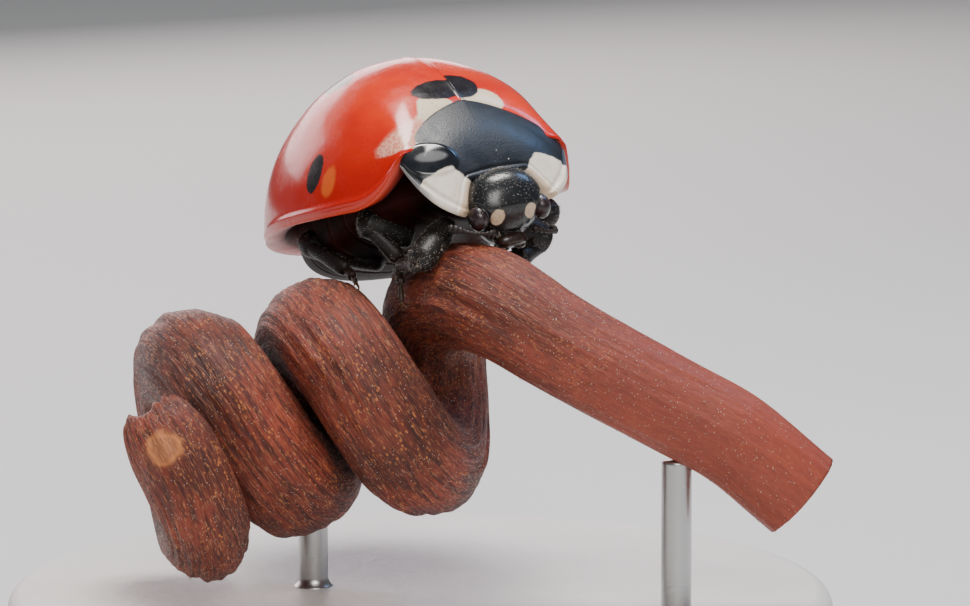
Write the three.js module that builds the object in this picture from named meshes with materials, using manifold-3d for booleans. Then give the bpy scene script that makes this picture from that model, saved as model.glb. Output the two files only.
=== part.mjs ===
// Seven-spot ladybird on a curled tendril, on a small display stand.
// Life size, millimetres, +Z up; the beetle faces -Y.
import * as THREE from 'three';
import { mergeVertices } from 'three/addons/utils/BufferGeometryUtils.js';
import Module from 'manifold-3d';

const wasm = await Module();
wasm.setup();

// ---------------------------------------------------------------- driving dimensions
// Beetle frame: origin on the midline at the base of the wing cases, level with
// their margin; +Y runs to the rear, +X to the animal's left, +Z up.
const shell = {
  length: 5.72, //            base of the wing cases to their tip
  halfWidth: 2.83, //         widest half-width of the wing cases
  widestAt: 2.53,
  baseHalfWidth: 2.02,
  height: 3.13, //            top of the dome over the margin
  highestAt: 2.16,
  baseHeight: 2.03, //        height of the dome at its front edge
  tailRoundness: 2.18, //     exponent of the rounded rear
  shoulderSweep: 0.49, //     how far the front corners reach forward
  shoulderRise: 0.79, //      height of the front corners over the margin
  shoulderEnd: 0.97,
  tailDrop: -0.42, //         height of the rear tip against the margin
  frontPinch: 0.3, //         flattens the arch at the front edge
  shoulderFill: 0.1, //       squares the arch a little over the shoulders
  thickness: 0.52,
};
const pronotumShape = {
  halfWidth: 1.94,
  hindHeight: 2.0,
  hindCorner: [-0.5, 0.76], //  y and z of the hind corners
  hindMiddle: -0.06,
  archPower: 1.38, //          above 1 flattens the arch between middle and corners
  frontHalfWidth: 1.15,
  frontTip: [-1.24, -0.24], //  y and z of the front corners
  frontMiddle: [-1.06, 0.4], // y and z of the middle of the front margin
  notchEdge: [0.55, 1.05], // where the front margin runs from the middle out to the tips
  discSwell: [0.108, 0.084], //  forwards and upwards
  flankSwell: [0.102, 0.136], // outwards and downwards
  twistDeg: -5, //              the front is rolled a little against the wing cases
  thickness: 0.5,
};
// The head, its eyes, labrum and palps are drawn round the middle of the skull, then turned into place.
const headPlace = { centre: [-0.05, -1.17, -0.31], turnDeg: -9.3, rollDeg: -4.7 };
const headShape = { centre: [0, 0, 0], radii: [0.82, 0.52, 0.76], boxiness: 0.9, taper: 0.59, tuck: 0.51 };
const eyeShape = { centre: [0.68, -0.14, -0.13], radii: [0.2, 0.26, 0.29] };
const labrumShape = { centre: [0, 0.1, -0.7], radii: [0.34, 0.2, 0.17] };
// Each feeler is drawn on the left side, in the beetle's frame; the right one is mirrored.
const feelerLines = {
  left: [[0.58, -1.37, -0.84], [0.74, -1.42, -0.9], [0.94, -1.32, -0.9], [1.02, -1.1, -0.82]],
  right: [[0.66, -1.4, -0.86], [0.98, -1.46, -0.8], [1.26, -1.36, -0.7], [1.44, -1.16, -0.6]],
};
const feelerRadius = { stem: 0.235, club: 0.26 };
const palpLine = [ //     x, y, z and radius
  [0.3, 0.1, -0.7, 0.16], [0.37, 0.0, -0.76, 0.22],
  [0.41, -0.1, -0.79, 0.22], [0.42, -0.19, -0.78, 0.14],
];
const scutellumShape = { halfWidth: 0.25, length: 0.4, depth: 0.5, front: -0.08, sunk: 0.02 };
const trunk = {
  front: -0.6,
  waist: 1.72, //      joint between thorax and abdomen
  rear: 5.02,
  inset: 0.7, //       how far the trunk stays inside the shell's outer face
  keel: -0.5, //       underside at the front
  belly: -1.16, //     underside at its lowest
  bellyAt: 3.5,
  neckNarrowing: 0.32, // share of the width lost at the front end
  neckLowering: 0.75,
  roofShare: 0.96, //  height of the back against the room under the shell
  sideShare: 0.6, //   height of the trunk's widest line against the shell's margin
};
const limbRadius = { hip: 0.25, femur: 0.3, knee: 0.27, tibia: 0.25, tarsus: 0.25, end: 0.17 };
const jointGap = 0.03; // clear space between two pieces that meet
const suture = { gap: 0.03, lastRow: 0.99 }; // between the wing cases, and where they end at the tip

// Hip, knee, ankle and toe of each leg in the beetle frame.
const legJoints = {
  front_right: [[-0.95, -0.42, -0.46], [-2.05, -0.82, -1.27], [-1.9, 0.1, -1.2], [-2.04, -0.04, -1.92]],
  front_left: [[0.62, -0.34, -0.6], [1.45, -0.22, -1.03], [0.56, -0.56, -1.34], [0.22, -1.2, -1.46]],
  middle_right: [[-0.95, 0.96, -0.6], [-2.05, 1.16, -0.1], [-1.42, 0.8, -1.02], [-1.2, 1.42, -1.26]],
  middle_left: [[0.95, 0.96, -0.62], [2.07, 0.14, -0.33], [0.98, 0.34, -1.16], [0.5, 0.5, -1.42]],
  hind_right: [[-0.9, 2.2, -0.95], [-2.3, 3.15, -0.24], [-1.84, 2.12, -1.04], [-2.05, 1.55, -1.34]],
  hind_left: [[0.9, 2.2, -0.95], [2.28, 3.12, -0.22], [1.28, 1.95, -1.48], [0.5, 1.55, -1.62]],
};

// Perch frame: +X along the run of the stem, +Y through the coil, +Z up.
const perch = {
  coilCentre: [-2.04, -0.35, -3.93],
  advance: [2.5, 0.5], //      x and z gained in one turn
  ringTilt: [-0.31, 0.95], //  x and z of the direction from the ring's middle to its top
  ringHeight: 1.5,
  ringGrowth: 0.11,
  ringDepth: 1.42,
  coilRadius: 1.09,
  lastRadius: 1.05,
  firstTurn: -1.33,
  lastTurn: 0.72,
  cutGap: 0.05, //             between two lengths of the perch
};
// Middle line of the free end and of the stem: x, y, z and radius.
const tipLine = [
  [-6.32, -2.95, -4.16, 0.8], [-5.9, -3.1, -4.86, 0.82], [-5.52, -3.02, -5.62, 0.83],
  [-5.26, -2.5, -6.33, 0.83], [-5.28, -1.55, -6.67, 0.85], [-5.45, -0.35, -6.58, 0.88],
  [-5.59, 0.6, -5.98, 0.93], [-5.7, 1.15, -4.98, 0.98],
];
const stemLine = [
  [-0.16, -1.05, -1.93, 1.03], [0.34, -1.75, -2.04, 1.02], [0.9, -2.1, -2.35, 0.98],
  [1.47, -2.25, -2.72, 0.96], [2.61, -2.3, -3.36, 0.95], [3.98, -2.2, -4.11, 0.94],
  [5.07, -2.1, -4.7, 0.94], [6.45, -1.9, -5.83, 0.94],
];

// Pose of the two frames in the world, in degrees and millimetres.
const pose = {
  perchTurn: -31.93,
  perchLean: -8,
  beetlePitch: -3.75,
  beetleRoll: -7.99,
  beetleTurn: 31.93,
  shift: [0.9, -0.6],
  lift: 9.3,
};

const stand = { radius: 8.3, thickness: 1.4, bevel: 0.35, rodRadius: 0.3 };
// Where each rod's middle line would meet the middle line of the perch, in the perch frame.
const rodSpots = { coil: [-3.24, 0.9, -5.1], stem: [3.98, -2.2, -4.11] };

// ---------------------------------------------------------------- materials
const finish = (color, roughness) => new THREE.MeshStandardMaterial({ color, roughness, metalness: 0 });
const finishes = {
  wingCase: () => finish(0xc8260e, 0.2),
  black: () => finish(0x0d0e10, 0.35),
  leg: () => finish(0x151413, 0.45),
  eye: () => finish(0x2a1d22, 0.15),
  belly: () => finish(0x1a1210, 0.5),
  bark: () => finish(0x7d4634, 0.8),
  stand: () => finish(0xd8d6d0, 0.5),
  rod: () => finish(0x9a9a9a, 0.35),
};

// ---------------------------------------------------------------- small helpers
const rad = THREE.MathUtils.degToRad;
const lerp = THREE.MathUtils.lerp;
const smooth = THREE.MathUtils.smoothstep;
const clamp = THREE.MathUtils.clamp;
const weldDistance = 1e-4;
const shortEdge = 0.012; // an edge shorter than this is left over from a cut
const signedPower = (value, power) => Math.sign(value) * Math.abs(value) ** power;

/** Closed BufferGeometry from vertices and triangles, turned so that its faces point out. */
function closedGeometry(points, triangles) {
  let volume = 0;
  const corners = triangles.map((t) => t.map((i) => points[i]));
  for (const [a, b, c] of corners) volume += a.dot(b.clone().cross(c)) / 6;
  const order = volume < 0 ? [0, 2, 1] : [0, 1, 2];
  const flat = corners.flatMap((t) => order.flatMap((i) => t[i].toArray()));
  const geometry = new THREE.BufferGeometry();
  geometry.setAttribute('position', new THREE.Float32BufferAttribute(flat, 3));
  return mergeVertices(geometry, weldDistance);
}

/** Two triangles for the square between four grid points. */
const square = (a, b, c, d) => [[a, b, c], [a, c, d]];

/** Closed body between two grids of points, outer and inner, of the same size. */
function thickSheet(outer, inner) {
  const rows = outer.length;
  const columns = outer[0].length;
  const points = [...outer.flat(), ...inner.flat()];
  const out = (i, j) => i * columns + j;
  const into = (i, j) => rows * columns + i * columns + j;
  const triangles = [];
  for (let i = 0; i < rows - 1; i += 1) {
    for (let j = 0; j < columns - 1; j += 1) {
      triangles.push(...square(out(i, j), out(i, j + 1), out(i + 1, j + 1), out(i + 1, j)));
      triangles.push(...square(into(i, j), into(i + 1, j), into(i + 1, j + 1), into(i, j + 1)));
    }
    const last = columns - 1;
    triangles.push(...square(out(i, 0), out(i + 1, 0), into(i + 1, 0), into(i, 0)));
    triangles.push(...square(out(i + 1, last), out(i, last), into(i, last), into(i + 1, last)));
  }
  for (let j = 0; j < columns - 1; j += 1) {
    const last = rows - 1;
    triangles.push(...square(out(0, j + 1), out(0, j), into(0, j), into(0, j + 1)));
    triangles.push(...square(out(last, j), out(last, j + 1), into(last, j + 1), into(last, j)));
  }
  return closedGeometry(points, triangles);
}

/** Closed body through rings of points, with a fan over each end ring. */
function loft(rings) {
  const size = rings[0].length;
  const points = rings.flat();
  const triangles = [];
  for (let i = 0; i < rings.length - 1; i += 1) {
    for (let j = 0; j < size; j += 1) {
      const next = (j + 1) % size;
      triangles.push(...square(i * size + j, i * size + next, (i + 1) * size + next, (i + 1) * size + j));
    }
  }
  for (const end of [0, rings.length - 1]) {
    const middle = new THREE.Vector3();
    rings[end].forEach((point) => middle.addScaledVector(point, 1 / size));
    points.push(middle);
    for (let j = 0; j < size; j += 1) {
      const pair = [end * size + j, end * size + ((j + 1) % size)];
      triangles.push([points.length - 1, ...(end ? pair : pair.reverse())]);
    }
  }
  return closedGeometry(points, triangles);
}

/** Tapering round bar along stations of {point, radius} and, on a curve, its {tangent}. */
function bar(stations, sides) {
  const axis = (i) => {
    if (stations[i].tangent) return stations[i].tangent;
    const before = stations[Math.max(i - 1, 0)].point;
    const after = stations[Math.min(i + 1, stations.length - 1)].point;
    return after.clone().sub(before).normalize();
  };
  const upright = Math.abs(axis(0).z) > 0.99;
  let side = upright ? new THREE.Vector3(1, 0, 0) : new THREE.Vector3(0, 0, 1).cross(axis(0));
  const rings = stations.map(({ point, radius }, i) => {
    const along = axis(i);
    side = side.clone().addScaledVector(along, -side.dot(along)).normalize();
    const across = along.clone().cross(side);
    return Array.from({ length: sides }, (_, j) => {
      const angle = (2 * Math.PI * j) / sides;
      const offset = side.clone().multiplyScalar(Math.cos(angle)).addScaledVector(across, Math.sin(angle));
      return point.clone().addScaledVector(offset, radius);
    });
  });
  return loft(rings);
}

/** The geometry with only its points and triangles, and no double points. */
function welded(geometry) {
  const bare = geometry.clone();
  bare.deleteAttribute('normal');
  bare.deleteAttribute('uv');
  return mergeVertices(bare, weldDistance);
}

/** Ellipsoid, squared, narrowed and set back toward its lower end, and grown when it is a cutter. */
function ellipsoid({ centre, radii, boxiness = 1, taper = 0, tuck = 0 }, segments, grow = 0) {
  const geometry = new THREE.SphereGeometry(1, segments, Math.round(segments * 0.65));
  const { position } = geometry.attributes;
  for (let i = 0; i < position.count; i += 1) {
    const corner = new THREE.Vector3().fromBufferAttribute(position, i).toArray();
    const [x, y, z] = corner.map((value) => signedPower(value, boxiness));
    const down = Math.max(-z, 0);
    position.setXYZ(
      i,
      x * (radii[0] + grow) * (1 - taper * down ** 1.6),
      y * (radii[1] + grow) + tuck * down ** 1.4,
      z * (radii[2] + grow),
    );
  }
  geometry.translate(...centre);
  return welded(geometry);
}

/** The geometry as a manifold solid. */
function toSolid(geometry) {
  const { attributes, index } = welded(geometry);
  return new wasm.Manifold(new wasm.Mesh({
    numProp: 3,
    vertProperties: Float32Array.from(attributes.position.array),
    triVerts: Uint32Array.from(index.array),
  }));
}

/** Triangles of a closed mesh after every edge under the weld length has shrunk to a point. */
function withoutShortEdges(points, triangles) {
  const stand = points.map((_, i) => i);
  const root = (i) => (stand[i] === i ? i : root(stand[i]));
  for (const corners of triangles) {
    corners.forEach((a, k) => {
      const b = corners[(k + 1) % 3];
      if (points[a].distanceTo(points[b]) < shortEdge) stand[root(a)] = root(b);
    });
  }
  const moved = triangles.map((corners) => corners.map(root));
  return moved.filter(([a, b, c]) => a !== b && b !== c && c !== a);
}

/** The first geometry with each of the cutters taken away. */
function carve(geometry, cutters) {
  const solid = cutters.reduce((body, cutter) => body.subtract(toSolid(cutter)), toSolid(geometry));
  const { vertProperties, triVerts } = solid.getMesh();
  const points = Array.from({ length: vertProperties.length / 3 }, (_, i) =>
    new THREE.Vector3().fromArray(vertProperties, 3 * i));
  const triangles = Array.from({ length: triVerts.length / 3 }, (_, i) =>
    Array.from(triVerts.subarray(3 * i, 3 * i + 3)));
  return closedGeometry(points, withoutShortEdges(points, triangles));
}

/** The same geometry on the other side of the midline. */
function mirrored(geometry) {
  const copy = geometry.clone().scale(-1, 1, 1);
  const index = copy.index.array;
  for (let i = 0; i < index.length; i += 3) [index[i], index[i + 1]] = [index[i + 1], index[i]];
  return copy;
}

/** Named mesh with a material of its own. */
const meshOf = (name, geometry, material) => {
  const mesh = new THREE.Mesh(geometry, material);
  mesh.name = name;
  return mesh;
};

// ---------------------------------------------------------------- wing cases
/** Height or half-width of the dome at y: an ellipse to its peak, then a rounded tail. */
function domeProfile(y, length, peakAt, peak, base) {
  if (y < peakAt) {
    const reach = peakAt / Math.sqrt(1 - (base / peak) ** 2);
    return peak * Math.sqrt(Math.max(0, 1 - ((peakAt - y) / reach) ** 2));
  }
  const rest = clamp((y - peakAt) / (length - peakAt), 0, 1);
  return peak * (1 - rest ** shell.tailRoundness) ** (1 / shell.tailRoundness);
}

/** Height of the wing cases' margin at y. */
function marginHeight(y) {
  const rise = shell.shoulderRise * clamp(1 - y / shell.shoulderEnd, 0, 1) ** 2.5;
  return rise + shell.tailDrop * clamp((y - shell.widestAt) / (shell.length - shell.widestAt), 0, 1) ** 2;
}

/** Point of the dome: s runs base to tail, angle runs from the midline to the left margin. */
function domePoint(s, angle, inset = 0) {
  const length = shell.length - inset;
  const y = length * (1 - (1 - s) ** 2);
  const peak = shell.height - inset;
  const width = shell.halfWidth - inset;
  const halfWidth = domeProfile(y, length, shell.widestAt, width, shell.baseHalfWidth - inset);
  const height = domeProfile(y, length, shell.highestAt, peak, shell.baseHeight - inset);
  const margin = marginHeight(y);
  const top = Math.max(height + shell.tailDrop * smooth(y, shell.highestAt, shell.length), margin);
  const fill = shell.shoulderFill * Math.exp(-(((y - 0.7) / 0.8) ** 2));
  const power = 0.98 - fill + shell.frontPinch * Math.exp(-y / 0.12);
  const sweep = shell.shoulderSweep * (1 - s) ** 2 * Math.sin(angle) ** 2;
  return new THREE.Vector3(
    halfWidth * Math.sin(angle) ** power,
    y - sweep,
    margin + (top - margin) * Math.cos(angle) ** power,
  );
}

/** Left wing case, hollow underneath, with a notch for the scutellum. */
function wingCase() {
  const rows = 18;
  const columns = 10;
  const crowding = 1.35; // rows stand closer together near the front edge
  const grid = (inset) => Array.from({ length: rows }, (_, i) =>
    Array.from({ length: columns }, (__, j) => {
      const row = suture.lastRow * (i / (rows - 1)) ** crowding;
      const point = domePoint(row, (Math.PI / 2) * (j / (columns - 1)), inset);
      point.x += suture.gap / 2;
      return point;
    }));
  return carve(thickSheet(grid(0), grid(shell.thickness)), [scutellum(jointGap)]);
}

/** Small three-cornered plate between the bases of the wing cases; with a margin, its cutter. */
function scutellum(grow = 0) {
  const { halfWidth, length, depth, front, sunk } = scutellumShape;
  const overrun = grow ? 0.3 : 0; // the cutter runs past both faces of the plate
  const outline = new THREE.Shape([
    new THREE.Vector2(-halfWidth - 2 * grow, front - grow),
    new THREE.Vector2(halfWidth + 2 * grow, front - grow),
    new THREE.Vector2(0, length + 3 * grow),
  ]);
  const plate = new THREE.ExtrudeGeometry(outline, { depth: depth + 2 * overrun, bevelEnabled: false });
  const behind = domePoint(0.05, 0);
  plate.translate(0, 0, -depth - overrun);
  plate.rotateX(Math.atan2(behind.z - shell.baseHeight, behind.y));
  plate.translate(0, -front / 2, shell.baseHeight - sunk);
  return welded(plate);
}

// ---------------------------------------------------------------- pronotum
/** Point of the neck shield: u runs hind to front, v from the right side (-1) to the left (1). */
function pronotumPoint(u, v, inset = 0) {
  const p = pronotumShape;
  const angle = (v * Math.PI) / 2;
  const cos = Math.cos(angle);
  const hind = new THREE.Vector3(
    (p.halfWidth - inset) * signedPower(Math.sin(angle), p.archPower),
    lerp(p.hindCorner[0], p.hindMiddle, cos ** 2),
    p.hindCorner[1] + (p.hindHeight - inset - p.hindCorner[1]) * cos ** p.archPower,
  );
  const drop = smooth(Math.abs(v), p.notchEdge[0], p.notchEdge[1]);
  const front = new THREE.Vector3(
    (p.frontHalfWidth - 0.6 * inset) * v,
    lerp(p.frontMiddle[0], p.frontTip[0], drop) + 0.5 * inset,
    lerp(p.frontMiddle[1], p.frontTip[1], drop) - 0.15 * inset,
  );
  const point = hind.lerp(front, u);
  const swell = Math.sin(Math.PI * u);
  point.x += p.flankSwell[0] * swell * Math.sign(v) * Math.abs(v) ** 3;
  point.y -= p.discSwell[0] * swell;
  point.z += p.discSwell[1] * swell * cos ** 0.5 - p.flankSwell[1] * swell * Math.abs(v) ** 5;
  return point.applyAxisAngle(new THREE.Vector3(0, 1, 0), rad(p.twistDeg * u));
}

/** Closed shield between two depths under its outer face. */
function pronotumSheet(rows, columns, from, to) {
  const across = (j) => (2 * j) / (columns - 1) - 1;
  const grid = (inset) => Array.from({ length: rows }, (_, i) =>
    Array.from({ length: columns }, (__, j) => pronotumPoint(i / (rows - 1), across(j), inset)));
  return thickSheet(grid(from), grid(to));
}

/** Neck shield, hollow underneath, cut away round the head. */
const pronotum = () => carve(pronotumSheet(9, 19, 0, pronotumShape.thickness), [skullRoom()]);

/** The same shield, thicker both ways, for taking its room out of the trunk. */
const pronotumCutter = () => pronotumSheet(7, 15, -0.3, pronotumShape.thickness + 2 * jointGap);

// ---------------------------------------------------------------- head
/** Head with sockets for the eyes and the labrum, or the whole skull when it is a cutter. */
function head(grow = 0, whole = false) {
  const skull = ellipsoid(headShape, 20, grow);
  if (whole) return skull;
  return carve(skull, [eye(jointGap), mirrored(eye(jointGap)), labrum(jointGap)]);
}

/** A piece of the head, turned and set in its place before the neck shield. */
function onHead(geometry) {
  geometry.rotateY(rad(headPlace.rollDeg));
  geometry.rotateZ(rad(headPlace.turnDeg));
  return geometry.translate(...headPlace.centre);
}

/** Room for the whole skull in a neighbour. */
const skullRoom = () => onHead(head(jointGap, true));

const eye = (grow = 0) => ellipsoid(eyeShape, 12, grow);
const labrum = (grow = 0) => ellipsoid(labrumShape, 14, grow);

/** Coarse ellipsoid that clears the finer one by the joint gap, for cutting small pieces round it. */
const roomFor = (shape) => ellipsoid(shape, 12, 2 * jointGap);

/** Short clubbed feeler folded back below the left eye, along a line of four points. */
function antenna(points) {
  const line = new THREE.CatmullRomCurve3(points.map((p) => new THREE.Vector3(...p)));
  const steps = 5;
  const stations = Array.from({ length: steps + 1 }, (_, i) => ({
    point: line.getPoint(i / steps),
    radius: lerp(feelerRadius.stem, feelerRadius.club, smooth(i / steps, 0.5, 0.9)),
  }));
  return bar(stations, 8);
}

/** A feeler cut clear of the skull and of the eye beside it. */
const clearedFeeler = (feeler, nearEye) => carve(feeler, [onHead(roomFor(headShape)), onHead(nearEye)]);

/** Blunt left mouth palp beside the labrum. */
function palp() {
  const stations = palpLine.map(([x, y, z, radius]) => ({ point: new THREE.Vector3(x, y, z), radius }));
  return carve(bar(stations, 8), [roomFor(headShape), roomFor(labrumShape)]);
}

// ---------------------------------------------------------------- trunk
/** One cross-section of the trunk at y, as a ring of points. */
function trunkRing(y, count) {
  const { inset } = trunk;
  const length = shell.length - inset;
  const roof = Math.max(y, 0);
  const under = (peakAt, peak, base) => domeProfile(roof, length, peakAt, peak - inset, base - inset);
  const width = under(shell.widestAt, shell.halfWidth, shell.baseHalfWidth);
  const height = under(shell.highestAt, shell.height, shell.baseHeight);
  const neck = 1 - trunk.neckNarrowing * smooth(-y, 0, -trunk.front);
  const lowered = y < 0 ? neck * (1 + y * trunk.neckLowering) : 1;
  const closing = Math.sqrt(1 - clamp((y - trunk.bellyAt) / (length - trunk.bellyAt), 0, 1) ** 3);
  const floor = lerp(trunk.keel, trunk.belly, smooth(y, 0, trunk.bellyAt)) * closing;
  const side = marginHeight(Math.max(y, 0.35)) * trunk.sideShare;
  const top = side + (height - side) * lowered * trunk.roofShare;
  const keelPower = lerp(1.5, 0.6, smooth(y, 0.5, 2.6)); //  a keel in front, a flat belly behind
  const flankPower = lerp(1, 0.75, smooth(y, 1, 3));
  return Array.from({ length: count }, (_, j) => {
    const angle = (2 * Math.PI * j) / count;
    const above = Math.cos(angle) > 0;
    const rise = above ? top - side : side - floor;
    return new THREE.Vector3(
      width * neck * signedPower(Math.sin(angle), above ? 1 : flankPower),
      y,
      side + rise * signedPower(Math.cos(angle), above ? 1 : keelPower),
    );
  });
}

/** Trunk between two stations along the body. */
const trunkLength = (from, to, steps) =>
  loft(Array.from({ length: steps + 1 }, (_, i) => trunkRing(lerp(from, to, i / steps), 20)));

/** Room for a folded leg, in the leg's own shape and a little wider. */
function legRoom([hip, knee, ankle]) {
  const femurRoom = limbRadius.femur + jointGap;
  const tibiaRoom = limbRadius.tibia + jointGap;
  return [
    limb(hip, knee, [[-0.02, femurRoom], [0.5, femurRoom], [1.02, femurRoom]]),
    limb(knee, ankle, [[0, tibiaRoom], [1.02, tibiaRoom]]),
  ];
}

const allLegRoom = () => Object.values(legJoints).flatMap(legRoom);
const thorax = () => carve(
  trunkLength(trunk.front, trunk.waist - jointGap, 8),
  [skullRoom(), pronotumCutter(), scutellum(jointGap), ...allLegRoom()],
);
const abdomen = () => carve(trunkLength(trunk.waist, trunk.rear, 10), allLegRoom());

// ---------------------------------------------------------------- legs
const beetlePose = new THREE.Matrix4().makeRotationX(rad(pose.beetlePitch))
  .multiply(new THREE.Matrix4().makeRotationY(rad(pose.beetleRoll)))
  .multiply(new THREE.Matrix4().makeRotationZ(rad(pose.beetleTurn)));
const perchCutters = perchLengths(jointGap)
  .map(([, geometry]) => geometry.applyMatrix4(beetlePose.clone().invert()));

/** Straight limb piece between two joints, with a radius at each station. */
function limb(from, to, radii, grow = 0) {
  const start = new THREE.Vector3(...from);
  const end = new THREE.Vector3(...to);
  const station = ([at, radius]) => ({ point: start.clone().lerp(end, at), radius: radius + grow });
  return bar(radii.map(station), 8);
}

/** Femur, tibia and tarsus of one leg, each clear of its neighbour and of the perch. */
function legMeshes(name, [hip, knee, ankle, toe]) {
  const r = limbRadius;
  const along = (a, b, distance) => {
    const start = new THREE.Vector3(...a);
    return start.addScaledVector(new THREE.Vector3(...b).sub(start).normalize(), distance).toArray();
  };
  const femurRadii = [[0, r.end], [0.08, r.hip], [0.45, r.femur], [0.86, r.knee], [1, r.end]];
  const shinStart = along(knee, ankle, r.knee + r.tibia * 1.15 + jointGap);
  const footStart = along(ankle, toe, r.tibia + r.tarsus * 0.5 + jointGap);
  const femur = limb(hip, knee, femurRadii);
  const tibia = limb(shinStart, ankle, [[0, r.end], [0.12, r.tibia], [0.9, r.tibia], [1, r.end]]);
  const tarsus = limb(footStart, toe, [[0, r.end], [0.15, r.tarsus], [0.75, r.tarsus], [1, r.end]]);
  const femurRoom = limb(hip, knee, femurRadii, jointGap);
  return [
    meshOf(`leg_${name}_femur`, carve(femur, perchCutters), finishes.leg()),
    meshOf(`leg_${name}_tibia`, carve(tibia, [femurRoom, ...perchCutters]), finishes.leg()),
    meshOf(`leg_${name}_tarsus`, carve(tarsus, perchCutters), finishes.leg()),
  ];
}

// ---------------------------------------------------------------- perch
/** Middle line and radius of the coil; at turn 0 the strand passes in front of the coil's middle. */
function coilStation(turn) {
  const { coilCentre, advance, ringTilt } = perch;
  const angle = 2 * Math.PI * (turn + 0.25);
  const height = (perch.ringHeight + perch.ringGrowth * turn) * Math.cos(angle);
  return new THREE.Vector4(
    coilCentre[0] + advance[0] * turn + height * ringTilt[0],
    coilCentre[1] - perch.ringDepth * Math.sin(angle),
    coilCentre[2] + advance[1] * turn + height * ringTilt[1],
    lerp(perch.coilRadius, perch.lastRadius, clamp(turn / perch.lastTurn, 0, 1)),
  );
}

/** One smooth line through the free end, the coil and the stem, with its radius. */
function perchLine() {
  const coilSteps = 15;
  const coil = Array.from({ length: coilSteps + 1 }, (_, i) =>
    coilStation(lerp(perch.firstTurn, perch.lastTurn, i / coilSteps)));
  const toKnot = (station) => new THREE.Vector4(...station);
  const knots = [...tipLine.map(toKnot), ...coil, ...stemLine.map(toKnot)];
  const points = knots.map((knot) => new THREE.Vector3(knot.x, knot.y, knot.z));
  const line = new THREE.CatmullRomCurve3(points, false, 'centripetal');
  return {
    count: knots.length - 1,
    tipEnd: tipLine.length,
    coilEnd: tipLine.length + coilSteps,
    at(knot) {
      const low = clamp(Math.floor(knot), 0, knots.length - 2);
      const share = clamp(knot / (knots.length - 1), 0, 1);
      return {
        point: line.getPoint(share),
        tangent: line.getTangent(share),
        radius: lerp(knots[low].w, knots[low + 1].w, clamp(knot - low, 0, 1)),
      };
    },
  };
}

/** Each length of the perch as [name, geometry], grown when it is used as a cutter. */
function perchLengths(grow = 0) {
  const line = perchLine();
  const tipJoint = tipLine.length / 2;
  const quarter = (line.coilEnd - line.tipEnd) / 4;
  const lengths = [
    ['perch_tip_end', 0, tipJoint, 8],
    ['perch_tip_bend', tipJoint, line.tipEnd, 7],
    ['perch_coil_1', line.tipEnd, line.tipEnd + quarter, 7],
    ['perch_coil_2', line.tipEnd + quarter, line.tipEnd + 2 * quarter, 7],
    ['perch_coil_3', line.tipEnd + 2 * quarter, line.tipEnd + 3 * quarter, 7],
    ['perch_coil_4', line.tipEnd + 3 * quarter, line.coilEnd, 7],
    ['perch_stem', line.coilEnd, line.count, 12],
  ];
  return lengths.map(([name, from, to, steps]) => {
    const stations = Array.from({ length: steps + 1 }, (_, i) => {
      const station = line.at(lerp(from, to, i / steps));
      return { ...station, radius: station.radius + grow };
    });
    const [first, last] = [stations[0], stations[steps]];
    if (from && !grow) first.point.addScaledVector(first.tangent, perch.cutGap / 2);
    if (to < line.count && !grow) last.point.addScaledVector(last.tangent, -perch.cutGap / 2);
    return [name, bar(stations, 14)];
  });
}

// ---------------------------------------------------------------- assembly
const beetle = new THREE.Group();
beetle.rotation.z = rad(pose.beetleTurn);
beetle.add(
  meshOf('elytron_left', wingCase(), finishes.wingCase()),
  meshOf('elytron_right', mirrored(wingCase()), finishes.wingCase()),
  meshOf('scutellum', scutellum(), finishes.black()),
  meshOf('pronotum', pronotum(), finishes.black()),
  meshOf('head', onHead(head()), finishes.black()),
  meshOf('labrum', onHead(labrum()), finishes.black()),
  meshOf('eye_left', onHead(eye()), finishes.eye()),
  meshOf('eye_right', onHead(mirrored(eye())), finishes.eye()),
  meshOf('antenna_left', clearedFeeler(antenna(feelerLines.left), roomFor(eyeShape)), finishes.leg()),
  meshOf(
    'antenna_right',
    clearedFeeler(mirrored(antenna(feelerLines.right)), mirrored(roomFor(eyeShape))),
    finishes.leg(),
  ),
  meshOf('palp_left', carve(onHead(palp()), perchCutters), finishes.leg()),
  meshOf('palp_right', carve(onHead(mirrored(palp())), perchCutters), finishes.leg()),
  meshOf('thorax', thorax(), finishes.belly()),
  meshOf('abdomen', abdomen(), finishes.belly()),
);
for (const [name, joints] of Object.entries(legJoints)) beetle.add(...legMeshes(name, joints));

const beetleRoll = new THREE.Group();
beetleRoll.rotation.y = rad(pose.beetleRoll);
beetleRoll.add(beetle);
const beetlePitch = new THREE.Group();
beetlePitch.rotation.x = rad(pose.beetlePitch);
beetlePitch.add(beetleRoll);

const perchAndBeetle = new THREE.Group();
perchAndBeetle.rotation.x = rad(pose.perchLean);
perchAndBeetle.add(beetlePitch);
for (const [name, geometry] of perchLengths()) perchAndBeetle.add(meshOf(name, geometry, finishes.bark()));

const turned = new THREE.Group();
turned.rotation.z = rad(pose.perchTurn);
turned.position.set(...pose.shift, pose.lift);
turned.add(perchAndBeetle);

/** Flat round base with a bevelled rim. */
function standBase() {
  const { radius, thickness, bevel } = stand;
  const sides = 48;
  const ring = (reach, height) => Array.from({ length: sides }, (_, j) => {
    const angle = (2 * Math.PI * j) / sides;
    return new THREE.Vector3(reach * Math.cos(angle), reach * Math.sin(angle), height);
  });
  return loft([ring(radius, 0), ring(radius, thickness - bevel), ring(radius - bevel, thickness)]);
}

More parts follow.
